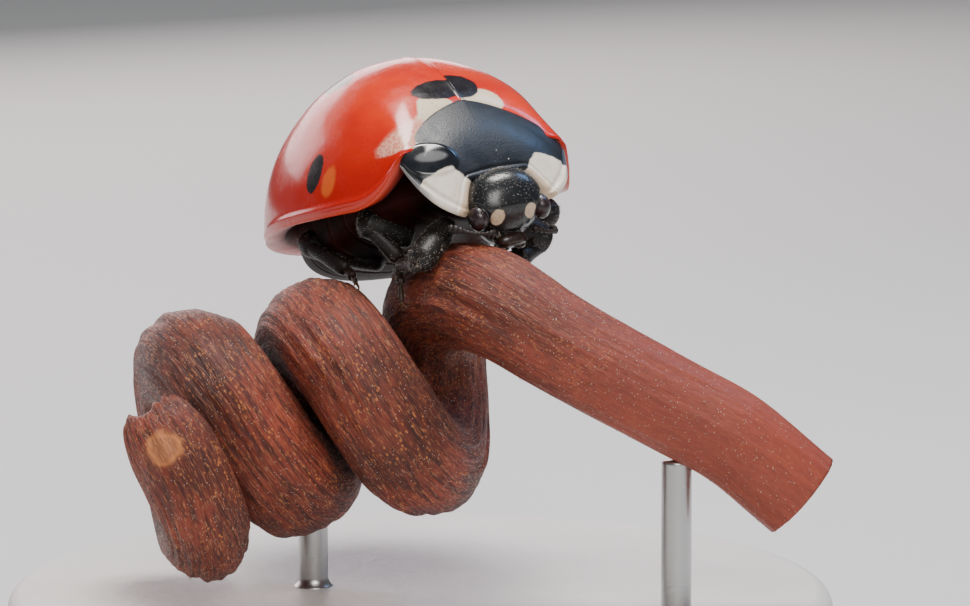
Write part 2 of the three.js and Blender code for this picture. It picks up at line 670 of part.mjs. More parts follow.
/** Upright rod from the base to the perch, with its top hollowed to the perch's shape. */
function standRod(name, spot) {
  turned.updateMatrixWorld(true);
  const foot = perchAndBeetle.localToWorld(new THREE.Vector3(...spot));
  const bottom = stand.thickness + jointGap;
  const height = foot.z - bottom;
  const rod = new THREE.CylinderGeometry(stand.rodRadius, stand.rodRadius, height, 14);
  rod.rotateX(Math.PI / 2);
  rod.translate(foot.x, foot.y, bottom + height / 2);
  const { matrixWorld } = perchAndBeetle;
  const cutters = perchLengths(jointGap).map(([, geometry]) => geometry.applyMatrix4(matrixWorld));
  return meshOf(name, carve(rod, cutters), finishes.rod());
}

const part = new THREE.Group();
part.add(
  turned,
  meshOf('stand_base', standBase(), finishes.stand()),
  standRod('stand_rod_coil', rodSpots.coil),
  standRod('stand_rod_stem', rodSpots.stem),
);

export default part;
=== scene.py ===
"""Looks of a seven-spot ladybird on its coiled tendril and display stand.

Shape classes work in millimetres, in the beetle's frame (+Y to the rear, +X to its left, +Z up),
in the perch's frame (+X to the camera's right, +Y away from it, +Z up) or in the world, for the
stand. Meshes are stored in metres in the world.
"""

import logging
import math
from dataclasses import dataclass, field
from enum import Enum
from typing import Any, Callable, Mapping, Sequence

import bpy
import numpy as np
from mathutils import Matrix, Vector


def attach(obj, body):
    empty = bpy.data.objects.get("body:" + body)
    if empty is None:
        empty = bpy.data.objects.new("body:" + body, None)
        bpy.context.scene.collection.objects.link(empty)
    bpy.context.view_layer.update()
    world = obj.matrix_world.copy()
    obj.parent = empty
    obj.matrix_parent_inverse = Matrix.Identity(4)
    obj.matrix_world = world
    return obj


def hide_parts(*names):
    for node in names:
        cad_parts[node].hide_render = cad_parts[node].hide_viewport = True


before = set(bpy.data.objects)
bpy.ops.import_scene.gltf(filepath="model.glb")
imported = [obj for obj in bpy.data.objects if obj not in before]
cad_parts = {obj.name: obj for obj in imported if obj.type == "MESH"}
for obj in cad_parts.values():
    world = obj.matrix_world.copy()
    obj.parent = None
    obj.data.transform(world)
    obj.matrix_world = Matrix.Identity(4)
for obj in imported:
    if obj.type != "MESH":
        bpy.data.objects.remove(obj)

Array = np.ndarray
Colour = tuple[float, float, float, float]
Knot = tuple[float, float, float, float]
Pair = tuple[float, float]
Spot = tuple[float, float, float]
Values = Mapping[str, Array]
Material = bpy.types.Material
Node = bpy.types.Node
Object = bpy.types.Object
Socket = bpy.types.NodeSocket
Tree = bpy.types.NodeTree

MM = 0.001
LEAST_RADIUS = 1e-3
UP = np.array([0.0, 0.0, 1.0])
log = logging.getLogger("ladybird")


# ---------------------------------------------------------------- placing
def turned_about(axis: str, degrees: float) -> Array:
    """Rotation matrix about the axis "X", "Y" or "Z"."""
    c, s = math.cos(math.radians(degrees)), math.sin(math.radians(degrees))
    i, j = ("XYZ".index(axis) + 1) % 3, ("XYZ".index(axis) + 2) % 3
    matrix = np.eye(3)
    matrix[i, i], matrix[i, j], matrix[j, i], matrix[j, j] = c, -s, s, c
    return matrix


@dataclass(frozen=True)
class Pose:
    """How the beetle sits on the perch, and the perch in the world."""

    perch_turn: float = -31.93
    perch_lean: float = -8.0
    beetle_pitch: float = -3.75
    beetle_roll: float = -7.99
    beetle_turn: float = 31.93
    shift: Spot = (0.9, -0.6, 9.3)

    @property
    def perch_matrix(self) -> Array:
        """Perch frame to world, without the shift."""
        return turned_about("Z", self.perch_turn) @ turned_about("X", self.perch_lean)

    @property
    def beetle_matrix(self) -> Array:
        """Beetle frame to perch frame."""
        tilted = turned_about("X", self.beetle_pitch) @ turned_about("Y", self.beetle_roll)
        return tilted @ turned_about("Z", self.beetle_turn)

    def from_perch(self, points: Array) -> Array:
        """World place of points in the perch frame, in millimetres."""
        return points @ self.perch_matrix.T + np.array(self.shift)

    def from_beetle(self, points: Array) -> Array:
        """World place of points in the beetle frame, in millimetres."""
        return self.from_perch(points @ self.beetle_matrix.T)


POSE = Pose()


class Place(Enum):
    """The frame that a surface's points are given in."""

    BEETLE = "beetle"
    PERCH = "perch"
    WORLD = "world"

    def to_world(self, points: Array) -> Array:
        """World place of the points, in millimetres."""
        if self is Place.BEETLE:
            return POSE.from_beetle(points)
        return POSE.from_perch(points) if self is Place.PERCH else points


# ---------------------------------------------------------------- number helpers
def ease(value: Array, low: float, high: float) -> Array:
    """Smooth step from 0 at low to 1 at high: 3t^2 - 2t^3."""
    t = np.clip((value - low) / (high - low), 0.0, 1.0)
    return t * t * (3.0 - 2.0 * t)


def signed_power(value: Array, power: float | Array) -> Array:
    """Power that keeps the sign."""
    return np.sign(value) * np.abs(value) ** power


def between(start: Any, end: Any, share: Any) -> Any:
    """Blend start + (end - start) share."""
    return start + (end - start) * share


def hump(value: Array, centre: float, width: float) -> Array:
    """Bell curve exp(-((v - c) / w)^2)."""
    return np.exp(-(((value - centre) / width) ** 2))


def unit(vectors: Array) -> Array:
    """Vectors brought to length 1 along the last axis."""
    return vectors / np.maximum(np.linalg.norm(vectors, axis=-1, keepdims=True), 1e-12)


def circle(count: int) -> Array:
    """Even angles once round, in radians."""
    return np.linspace(0, 2 * np.pi, count, endpoint=False)


def mesh_grid(rows: Array, columns: Array) -> tuple[Array, Array]:
    """Two grids of parameters, the first changing by row."""
    return tuple(np.meshgrid(rows, columns, indexing="ij"))


def ripples(around: Array, along: Array, waves: int, counts: tuple[int, int], rates: Pair,
            seed: int) -> Array:
    """Irregular relief: a sum of cosines cos(m a + w b + p) that closes round the first coordinate.

    Args:
        around: angle round the piece, in radians.
        along: length along the piece, in millimetres.
        waves: how many cosines.
        counts: least and most waves round the piece.
        rates: least and most radians per millimetre along it.
        seed: seed of the random draws.

    Returns:
        Heights with a spread of about 1.
    """
    rng = np.random.default_rng(seed)
    m = rng.integers(counts[0], counts[1] + 1, waves)
    w = rng.uniform(*rates, waves) * rng.choice([-1.0, 1.0], waves)
    p = rng.uniform(0, 2 * np.pi, waves)
    total = np.zeros(np.broadcast(around, along).shape)
    for count, rate, phase in zip(m, w, p):
        total += np.cos(count * around + rate * along + phase)
    return total / math.sqrt(waves / 2)


def grid_normals(grid: Array) -> Array:
    """Unit normals of a grid of points, from the cross product of its two directions."""
    return unit(np.cross(np.gradient(grid, axis=0), np.gradient(grid, axis=1)))


# ---------------------------------------------------------------- surfaces
@dataclass
class Surface:
    """Points, faces and per-point values that make one mesh, or part of one."""

    points: Array
    faces: list[Array]
    values: dict[str, Array] = field(default_factory=dict)

    @staticmethod
    def _strip(rows: int, columns: int, wrap: bool) -> Array:
        """Quads of a grid numbered row by row, closed round the columns if asked."""
        across = columns if wrap else columns - 1
        i, j = mesh_grid(np.arange(rows - 1), np.arange(across))
        k = (j + 1) % columns
        corners = [i * columns + j, i * columns + k, (i + 1) * columns + k, (i + 1) * columns + j]
        return np.stack(corners, -1).reshape(-1, 4)

    @classmethod
    def tube(cls, grid: Array, values: Values | None = None) -> "Surface":
        """Closed body from rings of points: quads between rings and a fan over each end.

        Args:
            grid: points as (rings, points round, 3).
            values: per-point values as (rings, points round) or (rings, points round, 3).

        Returns:
            The surface, facing out.
        """
        rows, columns = grid.shape[:2]
        count = rows * columns
        points = np.vstack([grid.reshape(-1, 3), grid[0].mean(0), grid[-1].mean(0)])
        j = np.arange(columns)
        k = (j + 1) % columns
        first = np.stack([np.full(columns, count), k, j], -1)
        last = np.stack([np.full(columns, count + 1), count - columns + j, count - columns + k], -1)
        made = {}
        for name, value in (values or {}).items():
            flat = value.reshape(count, *value.shape[2:])
            made[name] = np.concatenate([flat, value[0].mean(0)[None], value[-1].mean(0)[None]])
        return cls(points, [cls._strip(rows, columns, True), first, last], made).facing_out()

    @classmethod
    def ball(cls, grid: Array, values: Values | None = None) -> "Surface":
        """Closed body from a grid whose first and last rings have shrunk to a point each."""
        inner = grid[1:-1]
        made = {name: value[1:-1] for name, value in (values or {}).items()}
        surface = cls.tube(inner, made)
        surface.points[-2] = grid[0].mean(0)
        surface.points[-1] = grid[-1].mean(0)
        return surface

    @classmethod
    def sheet(cls, outer: Array, inner: Array, values: Values | None = None) -> "Surface":
        """Closed body between two grids of the same size, joined round their edge.

        Args:
            outer: outer points as (rows, columns, 3).
            inner: inner points as (rows, columns, 3).
            values: per-point values of the outer grid, used for the inner one too.

        Returns:
            The surface, facing out.
        """
        rows, columns = outer.shape[:2]
        count = rows * columns
        front = cls._strip(rows, columns, False)
        number = np.arange(count).reshape(rows, columns)
        rim = np.concatenate([number[0, :-1], number[:-1, -1], number[-1, :0:-1], number[:0:-1, 0]])
        after = np.roll(rim, -1)
        wall = np.stack([rim, rim + count, after + count, after], -1)
        points = np.vstack([outer.reshape(-1, 3), inner.reshape(-1, 3)])
        made = {}
        for name, value in (values or {}).items():
            flat = value.reshape(count, *value.shape[2:])
            made[name] = np.concatenate([flat, flat])
        return cls(points, [front, front[:, ::-1] + count, wall], made).facing_out()

    @classmethod
    def joined(cls, surfaces: Sequence["Surface"]) -> "Surface":
        """One surface from several; a value that one of them lacks is 0 there."""
        starts = np.cumsum([0, *(len(s.points) for s in surfaces)])
        faces = [f + start for s, start in zip(surfaces, starts) for f in s.faces]
        made = {}
        for name in dict.fromkeys(n for s in surfaces for n in s.values):
            shape = next(s.values[name].shape[1:] for s in surfaces if name in s.values)
            blank = [s.values.get(name, np.zeros((len(s.points), *shape))) for s in surfaces]
            made[name] = np.concatenate(blank)
        return cls(np.vstack([s.points for s in surfaces]), faces, made)

    def facing_out(self) -> "Surface":
        """The same closed surface, turned so that its volume is positive."""
        volume = 0.0
        for f in self.faces:
            a, *others = (self.points[column] for column in f.T)
            for b, c in zip(others, others[1:]):
                volume += np.einsum("ij,ij->", a, np.cross(b, c))
        if volume < 0:
            self.faces = [f[:, ::-1] for f in self.faces]
        return self

    def build(self, name: str, place: Place, material: Material, slot: str,
              nodes: Sequence[str] = ()) -> Object:
        """Makes the object, rides it on the body and hides the solids that it stands for.

        Args:
            name: the piece's name.
            place: the frame that the points are in.
            material: the finish.
            slot: not used.
            nodes: solids that the piece replaces.

        Returns:
            The new object.
        """
        mesh = bpy.data.meshes.new(name)
        mesh.vertices.add(len(self.points))
        placed = (place.to_world(self.points) * MM).astype(np.float32)
        mesh.vertices.foreach_set("co", placed.ravel())
        sizes = np.concatenate([np.full(len(f), f.shape[1]) for f in self.faces])
        corners = np.concatenate([f.ravel() for f in self.faces]).astype(np.int32)
        mesh.loops.add(len(corners))
        mesh.loops.foreach_set("vertex_index", corners)
        mesh.polygons.add(len(sizes))
        starts = np.concatenate([[0], np.cumsum(sizes)[:-1]])
        mesh.polygons.foreach_set("loop_start", starts.astype(np.int32))
        for value_name, value in self.values.items():
            if value_name == "patch_uv":
                layer = mesh.uv_layers.new(name="OFBake")
                layer.data.foreach_set("uv", value[corners].astype(np.float32).ravel())
                continue
            kind, key = ("FLOAT", "value") if value.ndim == 1 else ("FLOAT_VECTOR", "vector")
            layer = mesh.attributes.new(value_name, kind, "POINT")
            layer.data.foreach_set(key, value.astype(np.float32).ravel())
        mesh.update(calc_edges=True)
        mesh.validate()
        mesh.shade_smooth()
        mesh.materials.append(material)
        piece = bpy.data.objects.new(name, mesh)
        bpy.context.scene.collection.objects.link(piece)
        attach(piece, "root")
        if nodes:
            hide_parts(*nodes)
        log.info("%s: %d points, %d faces", name, len(self.points), len(sizes))
        return piece


def carried(path: Array, radii: Array, columns: int, up: Array,
            squash: Array | float = 1.0) -> Array:
    """Rings of points carried along a path.

    A ring's point at angle a is p + r (cos a side + squash sin a across), where side is the unit
    vector square to the path nearest to `up`, carried from ring to ring without twist.

    Args:
        path: middle points as (rings, 3).
        radii: radius of each ring.
        columns: points round each ring.
        up: direction that the first ring's side vector starts from.
        squash: how much flatter the ring is across than along its side vector.

    Returns:
        Points as (rings, columns, 3).
    """
    tangents = unit(np.gradient(path, axis=0))
    sides = np.empty_like(tangents)
    side = up
    for i, tangent in enumerate(tangents):
        side = unit(side - tangent * np.dot(side, tangent))
        sides[i] = side
    across = np.cross(tangents, sides)
    angle = circle(columns)
    radii = radii[:, None, None] if radii.ndim == 1 else radii[..., None]
    flat = np.broadcast_to(np.asarray(squash, dtype=float), (len(path),))[:, None, None]
    cos, sin = np.cos(angle)[:, None], np.sin(angle)[:, None]
    return path[:, None] + radii * (cos * sides[:, None] + flat * sin * across[:, None])


def rolled(outer: Array, inner: Array, values: Values, radius: float, axis: int = 0,
           end: bool = False, count: int = 7) -> tuple[Array, Array, dict[str, Array]]:
    """Both faces of a sheet with one edge rounded over.

    The outer face goes on by r (sin(a) ahead + (1 - cos(a)) down), a from 0 to a right angle, and
    the inner face comes to meet it the same way.

    Args:
        outer: outer points as (rows, columns, 3).
        inner: inner points of the same size.
        values: per-point values as (rows, columns).
        radius: radius of the edge, kept under half the sheet's thickness.
        axis: 0 for an edge row, 1 for an edge column.
        end: rounds the last row or column instead of the first.
        count: rows added.

    Returns:
        The two faces and their values, wider by the added rows.
    """
    def turned(grid: Array) -> Array:
        """The grid with the edge in question as its first row."""
        grid = np.swapaxes(grid, 0, 1) if axis else grid
        return grid[::-1] if end else grid

    def back(grid: Array) -> Array:
        """The grid turned back to its own order."""
        grid = grid[::-1] if end else grid
        return np.swapaxes(grid, 0, 1) if axis else grid

    top, under = turned(outer), turned(inner)
    ahead, down = unit(top[0] - top[2]), unit(under[0] - top[0])
    room = np.minimum(np.linalg.norm(under[0] - top[0], axis=-1, keepdims=True) * 0.5, radius)
    bend = np.linspace(np.pi / 2, 0, count + 1)[:-1, None, None]
    lip = top[0] + room * (np.sin(bend) * ahead + (1 - np.cos(bend)) * down)
    fold = under[0] + room * (np.sin(bend) * ahead - (1 - np.cos(bend)) * down)
    wider = {}
    for name, value in values.items():
        grid = turned(value)
        wider[name] = back(np.concatenate([np.repeat(grid[:1], count, 0), grid]))
    return back(np.concatenate([lip, top])), back(np.concatenate([fold, under])), wider


def lifted(grid: Array, height: Array, centre: Sequence[float]) -> Array:
    """The grid moved along its normals, which point away from the centre, by the height."""
    normals = grid_normals(grid)
    facing = np.sign(np.einsum("ijk,ijk->ij", normals, grid - np.array(centre)))
    return grid + normals * (facing * height)[..., None]


def lengths_along(path: Array) -> Array:
    """Length of the path up to each of its points."""
    return np.concatenate([[0], np.cumsum(np.linalg.norm(np.diff(path[:, :3], axis=0), axis=1))])


def resampled(path: Array, count: int) -> Array:
    """The path at evenly spaced lengths."""
    length = lengths_along(path)
    even = np.linspace(0, length[-1], count)
    return np.stack([np.interp(even, length, column) for column in path.T], -1)


def smooth_path(knots: Sequence[Sequence[float]], steps: int = 12) -> Array:
    """Centripetal Catmull-Rom curve through knots of x, y, z and further numbers.

    Each span is blended from lines in turn: A = lines through neighbours, B = blends of A, C =
    blend of B, with knot times t(i+1) = t(i) + |p(i+1) - p(i)|^(1/2). The end knots are mirrored to
    start and finish it.
    """
    p = np.array(knots, dtype=float)
    p = np.vstack([2 * p[0] - p[1], p, 2 * p[-1] - p[-2]])
    spans = []
    for i in range(1, len(p) - 2):
        q = p[i - 1:i + 3]
        gaps = np.linalg.norm(np.diff(q[:, :3], axis=0), axis=1) ** 0.5
        t = np.concatenate([[0], np.cumsum(gaps)])
        u = np.linspace(t[1], t[2], steps, endpoint=False)[:, None]
        a = [((t[k + 1] - u) * q[k] + (u - t[k]) * q[k + 1]) / (t[k + 1] - t[k]) for k in range(3)]
        b = [((t[k + 2] - u) * a[k] + (u - t[k]) * a[k + 1]) / (t[k + 2] - t[k]) for k in range(2)]
        spans.append(((t[2] - u) * b[0] + (u - t[1]) * b[1]) / (t[2] - t[1]))
    return np.vstack([*spans, p[-2][None]])


def rounded_run(count: int) -> Array:
    """Parameters from 0 to 1 that crowd toward both ends: (1 - cos(pi t)) / 2."""
    return 0.5 - 0.5 * np.cos(np.pi * np.linspace(0, 1, count))


def blunt(t: Array, start: float, end: float) -> Array:
    """Radius share that closes both ends in quarter circles: sqrt(1 - (1 - t / e)^2)."""
    near = np.sqrt(np.clip(1 - np.clip(1 - t / start, 0, 1) ** 2, 0, 1))
    far = np.sqrt(np.clip(1 - np.clip(1 - (1 - t) / end, 0, 1) ** 2, 0, 1))
    return near * far


def closed_off(size: Array, t: Array, start: float, end: float) -> Array:
    """Radii that run out bluntly at both ends, never quite to nothing."""
    return size * blunt(t, start, end) + LEAST_RADIUS


def ellipsoid_grid(centre: Sequence[float], radii: Sequence[float], rows: int, columns: int,
                   boxiness: float = 1.0) -> Array:
    """Ellipsoid whose unit coordinates are raised to a power below 1 to square it."""
    polar, round_ = mesh_grid(np.linspace(0, np.pi, rows), circle(columns))
    level = np.sin(polar)
    ball = np.stack([level * np.cos(round_), level * np.sin(round_), np.cos(polar)], -1)
    return signed_power(ball, boxiness) * np.array(radii) + np.array(centre)


def jointed(t: Array, ends: Array, sizes: Sequence[float], waist: float, swell: float,
            power: float) -> Array:
    """Radii of a jointed limb: r (w + s sin(pi u)^n), u running from 0 to 1 along each joint."""
    joint = np.clip(np.searchsorted(ends, t, side="right") - 1, 0, len(sizes) - 1)
    share = np.clip((t - ends[joint]) / (ends[joint + 1] - ends[joint]), 0, 1)
    return np.array(sizes)[joint] * (waist + swell * np.sin(np.pi * share) ** power)


def limb(rings: Array, brown: Array | float, claw: float = 0.0) -> Surface:
    """Limb from its rings, as brown along it as told, and amber to its share of claw."""
    shade = np.broadcast_to(np.reshape(brown, (-1, 1)), rings.shape[:2])
    return Surface.tube(rings, {"foot": shade, "claw": claw * shade})


# ---------------------------------------------------------------- shader helpers
class Board:
    """Short-hand for filling a node tree."""

    def __init__(self, tree: Tree) -> None:
        """Works on the given tree."""
        self.tree = tree

    def add(self, kind: str, inputs: Mapping[Any, Any] | None = None, **settings: Any) -> Node:
        """Adds a node, sets its options, and sets or links its inputs.

        Args:
            kind: the node's type name.
            inputs: input name or number, to a value or to another node's output.
            **settings: options of the node itself.

        Returns:
            The node.
        """
        node = self.tree.nodes.new(kind)
        for key, value in settings.items():
            setattr(node, key, value)
        self._fill(node, inputs or {})
        return node

    def _fill(self, node: Node, inputs: Mapping[Any, Any]) -> None:
        """Sets each of the node's inputs to its value, or links it to another node's output."""
        for key, value in inputs.items():
            if isinstance(value, Socket):
                self.tree.links.new(value, node.inputs[key])
            else:
                node.inputs[key].default_value = value

    def maths(self, operation: str, a: Any, b: Any = 0.0) -> Socket:
        """Output of a Math node."""
        return self.add("ShaderNodeMath", {0: a, 1: b, 2: 0.0}, operation=operation).outputs[0]

    def times(self, a: Any, b: Any) -> Socket:
        """Product a b."""
        return self.maths("MULTIPLY", a, b)

    def plus(self, a: Any, b: Any) -> Socket:
        """Sum a + b."""
        return self.maths("ADD", a, b)

    def minus(self, a: Any, b: Any) -> Socket:
        """Difference a - b."""
        return self.maths("SUBTRACT", a, b)

    def mix(self, factor: Any, a: Any, b: Any) -> Socket:
        """Output of a colour Mix node."""
        return self.add("ShaderNodeMix", {0: factor, 6: a, 7: b}, data_type="RGBA").outputs[2]

    def step(self, value: Any, low: float, high: float, to_low: float = 0.0,
             to_high: float = 1.0) -> Socket:
        """Output of a smooth Map Range node."""
        inputs = {"Value": value, "From Min": low, "From Max": high, "To Min": to_low,
                  "To Max": to_high}
        return self.add("ShaderNodeMapRange", inputs, interpolation_type="SMOOTHSTEP").outputs[0]

    def value(self, name: str, output: str = "Fac") -> Socket:
        """A per-point number of the mesh, or with the output "Vector" a per-point vector."""
        node = self.add("ShaderNodeAttribute", attribute_name=name, attribute_type="GEOMETRY")
        return node.outputs[output]

    def place_mm(self) -> Socket:
        """Object coordinates in millimetres."""
        inputs = {0: self.add("ShaderNodeTexCoord").outputs["Object"], "Scale": 1 / MM}
        return self.add("ShaderNodeVectorMath", inputs, operation="SCALE").outputs[0]

    def show(self, inputs: Mapping[str, Any]) -> None:
        """Adds the surface shader with these inputs and the material's output."""
        shader = self.add("ShaderNodeBsdfPrincipled", inputs)
        self.add("ShaderNodeOutputMaterial", {0: shader.outputs[0]})

    def noise(self, vector: Any, scale: Any, detail: float = 3.0, roughness: float = 0.5) -> Socket:
        """Factor of a Noise node."""
        inputs = {"Vector": vector, "Scale": scale, "Detail": detail, "Roughness": roughness}
        return self.add("ShaderNodeTexNoise", inputs).outputs["Fac"]

    def cells(self, vector: Any, scale: Any) -> Node:
        """Voronoi node of nearest cells."""
        return self.add("ShaderNodeTexVoronoi", {"Vector": vector, "Scale": scale}, feature="F1")

    def effect(self, effect: "Effect", vector: Socket, scale: float, **inputs: Any) -> Socket:
        """Output of one of the shared effects, placed with this material's own values."""
        node = self.tree.nodes.new("ShaderNodeGroup")
        node.node_tree = effect.group()
        named = {key.title(): value for key, value in inputs.items()}
        self._fill(node, {"Vector": vector, "Scale": scale, **named})
        return node.outputs[0]

    def marking(self, name: str, vector: Socket, scale: float, waver: float,
                softness: float) -> Socket:
        """Mask of a marking, from the mesh's per-point distance to it."""
        return self.effect(Effect.PATCH, vector, scale, distance=self.value(name), waver=waver,
                           softness=softness)


class Effect(Enum):
    """Effects that several finishes share, each a node group built once."""

    PATCH = "patch_edge"
    PORES = "pores"
    SPECKS = "specks"
    CLOUD = "cloud"
    FIBRES = "fibres"

    def group(self) -> Tree:
        """The effect's node group, made on first use."""
        found = bpy.data.node_groups.get(self.value)
        if found:
            return found
        tree = bpy.data.node_groups.new(self.value, "ShaderNodeTree")
        makers: dict[Effect, Callable[[Tree], None]] = {
            Effect.PATCH: self._patch, Effect.PORES: self._pores, Effect.SPECKS: self._specks,
            Effect.CLOUD: self._cloud, Effect.FIBRES: self._fibres,
        }
        makers[self](tree)
        return tree

    @staticmethod
    def _ends(tree: Tree, inputs: Mapping[str, Any], output: str,
              kind: str = "NodeSocketFloat") -> tuple[Board, Any, Socket]:
        """Names the group's sockets and adds its two end nodes.

        Args:
            tree: the group's tree.
            inputs: socket name to its default value: a number, a colour, or "" for a vector.
            output: name of the one output.
            kind: type of that output.

        Returns:
            A board on the tree, the inputs as they arrive inside, and the socket to feed.
        """
        kinds = {float: "NodeSocketFloat", str: "NodeSocketVector", tuple: "NodeSocketColor"}
        for name, default in inputs.items():
            socket_type = kinds[type(default)]
            socket = tree.interface.new_socket(name, in_out="INPUT", socket_type=socket_type)
            if not isinstance(default, str):
                socket.default_value = default
        tree.interface.new_socket(output, in_out="OUTPUT", socket_type=kind)
        start, end = tree.nodes.new("NodeGroupInput"), tree.nodes.new("NodeGroupOutput")
        return Board(tree), start.outputs, end.inputs[0]

    @classmethod
    def _patch(cls, tree: Tree) -> None:
        """Mask of a marking from its distance in millimetres, with a wavering soft edge."""
        inputs = {"Distance": 0.0, "Vector": "", "Scale": 6.0, "Waver": 0.05, "Softness": 0.02}
        board, given, mask = cls._ends(tree, inputs, "Mask")
        noise = board.noise(given["Vector"], given["Scale"])
        moved = board.times(board.minus(noise, 0.5), given["Waver"])
        ratio = board.maths("DIVIDE", board.plus(given["Distance"], moved), given["Softness"])
        tree.links.new(board.step(ratio, -1.0, 1.0, 1.0, 0.0), mask)

    @classmethod
    def _pores(cls, tree: Tree) -> None:
        """Small round pits: height 1 between them and 0 at their middle."""
        inputs = {"Vector": "", "Scale": 20.0, "Size": 0.4}
        board, given, height = cls._ends(tree, inputs, "Height")
        cells = board.cells(given["Vector"], given["Scale"])
        ratio = board.maths("DIVIDE", cells.outputs["Distance"], given["Size"])
        tree.links.new(board.step(ratio, 0.0, 1.0), height)

    @classmethod
    def _specks(cls, tree: Tree) -> None:
        """Scattered grains: mask 1 on the few cells whose own number is under the share."""
        inputs = {"Vector": "", "Scale": 20.0, "Share": 0.1, "Size": 0.3}
        board, given, mask = cls._ends(tree, inputs, "Mask")
        cells = board.cells(given["Vector"], given["Scale"])
        number = board.add("ShaderNodeSeparateColor", {0: cells.outputs["Color"]}).outputs[0]
        chosen = board.maths("LESS_THAN", number, given["Share"])
        ratio = board.maths("DIVIDE", cells.outputs["Distance"], given["Size"])
        tree.links.new(board.times(chosen, board.step(ratio, 0.6, 1.0, 1.0, 0.0)), mask)

    @classmethod
    def _cloud(cls, tree: Tree) -> None:
        """Colour that drifts between two tones by a soft noise."""
        inputs = {"Vector": "", "Scale": 3.0, "Tone": (0.5, 0.5, 0.5, 1.0),
                  "Other": (0.4, 0.4, 0.4, 1.0), "Low": 0.35, "High": 0.65}
        board, given, colour = cls._ends(tree, inputs, "Color", "NodeSocketColor")
        noise = board.noise(given["Vector"], given["Scale"], 4.0)
        limits = {"Value": noise, "From Min": given["Low"], "From Max": given["High"]}
        share = board.add("ShaderNodeMapRange", limits).outputs[0]
        tree.links.new(board.mix(share, given["Tone"], given["Other"]), colour)

    @classmethod
    def _fibres(cls, tree: Tree) -> None:
        """Fine lengthwise fibres: noise on a vector stretched along the grain."""
        inputs = {"Vector": "", "Scale": 10.0, "Stretch": 0.12}
        board, given, height = cls._ends(tree, inputs, "Height")
        parts = board.add("ShaderNodeSeparateXYZ", {0: given["Vector"]}).outputs
        along = board.times(parts["Z"], given["Stretch"])
        vector = board.add("ShaderNodeCombineXYZ", {0: parts["X"], 1: parts["Y"], 2: along})
        tree.links.new(board.noise(vector.outputs[0], given["Scale"], 5.0, 0.62), height)


@dataclass(frozen=True)
class Finish:
    """A finish: a name, its gloss, and a recipe for its colour and relief."""

    name: str = "finish"
    roughness: float = 0.4
    coat: float = 0.0
    coat_roughness: float = 0.1
    specular: float = 0.5
    metallic: float = 0.0
    bump_mm: float = 0.01

    def recipe(self, board: Board) -> dict[str, Any]:
        """Sockets or values for Base Color, Roughness, Coat Weight and Height."""
        return {}

    def material(self) -> Material:
        """The finish as a material, made on first use."""
        found = bpy.data.materials.get(self.name)
        if found:
            return found
        material = bpy.data.materials.new(self.name)
        material.use_nodes = True
        material.node_tree.nodes.clear()
        board = Board(material.node_tree)
        made = self.recipe(board)
        inputs = {
            "Base Color": made["Base Color"],
            "Roughness": made.get("Roughness", self.roughness),
            "Coat Weight": made.get("Coat Weight", self.coat),
            "Coat Roughness": self.coat_roughness,
            "Specular IOR Level": self.specular,
            "Metallic": self.metallic,
        }
        if "Height" in made:
            relief = {"Height": made["Height"], "Distance": self.bump_mm * MM, "Strength": 1.0}
            inputs["Normal"] = board.add("ShaderNodeBump", relief).outputs[0]
        board.show(inputs)
        return material


# ---------------------------------------------------------------- finishes
@dataclass(frozen=True)
class WingCaseFinish(Finish):
    """Glossy red wing case: black spots, pale patches at its base and a dark lining."""

    name: str = "wing_case_red"
    coat: float = 0.4
    coat_roughness: float = 0.1
    specular: float = 0.35
    bump_mm: float = 0.006
    orange: Colour = (0.8, 0.035, 0.002, 1)
    red: Colour = (0.6, 0.006, 0.002, 1)
    black: Colour = (0.012, 0.009, 0.011, 1)
    cream: Colour = (0.9, 0.74, 0.52, 1)
    # Peach of the painted sheen: lamp light on the near shoulder.
    sheen_peach: Colour = (0.9, 0.5, 0.36, 1)
    rim: Colour = (0.9, 0.12, 0.03, 1)
    # Orange of the painted caustic: light focused by a droplet beside the side spot.
    painted_caustic: Colour = (0.95, 0.17, 0.02, 1)
    lining: Colour = (0.13, 0.008, 0.005, 1)

    def recipe(self, board: Board) -> dict[str, Any]:
        """Red deepened toward the flank, then rim, cream, a painted peach sheen, painted orange
        caustic light and black over it.
        """
        place = board.place_mm()
        cloud = board.effect(Effect.CLOUD, place, 1.1, tone=self.orange, other=self.red,
                             low=0.42, high=0.8)
        depth = board.times(board.value("depth"), 0.85)
        colour = board.mix(depth, cloud, self.red)
        colour = board.mix(board.times(board.value("rim"), 0.3), colour, self.rim)
        cream = board.marking("cream", place, 9.0, 0.05, 0.02)
        colour = board.mix(cream, colour, self.cream)
        # Painted sheen: peach highlight of a lamp near the base of the near case, broken up by a
        # fine mottle.
        mottle = board.step(board.noise(place, 22.0, 4.0, 0.7), 0.36, 0.6, 0.3)
        painted_sheen = board.times(board.value("painted_sheen"), mottle)
        colour = board.mix(painted_sheen, colour, self.sheen_peach)
        # Painted caustic light: an orange glow beside the side spot, as a droplet focuses light.
        painted_caustic = board.marking("painted_caustic", place, 5.0, 0.1, 0.05)
        colour = board.mix(board.times(painted_caustic, 0.75), colour, self.painted_caustic)
        grains = board.effect(Effect.SPECKS, place, 13.0, share=0.6, size=0.3)
        dark = board.times(grains, board.value("dirt"))
        spot = board.marking("spot", place, 7.0, 0.06, 0.014)
        black = board.maths("MAXIMUM", spot, board.times(dark, 0.8))
        colour = board.mix(black, colour, self.black)
        inside = board.value("inside")
        colour = board.mix(inside, colour, self.lining)
        coat = board.times(board.minus(1.0, inside), self.coat)
        pores = board.effect(Effect.PORES, place, 17.0, size=0.28)
        waves = board.noise(place, 2.2, 2.0)
        height = board.plus(board.times(pores, 0.35), board.times(waves, 1.6))
        rough = board.step(board.noise(place, 3.0, 4.0), 0.3, 0.8, 0.2, 0.34)
        rough = board.plus(rough, board.times(board.maths("MAXIMUM", dark, inside), 0.35))
        return {"Base Color": colour, "Height": height, "Roughness": rough, "Coat Weight": coat}


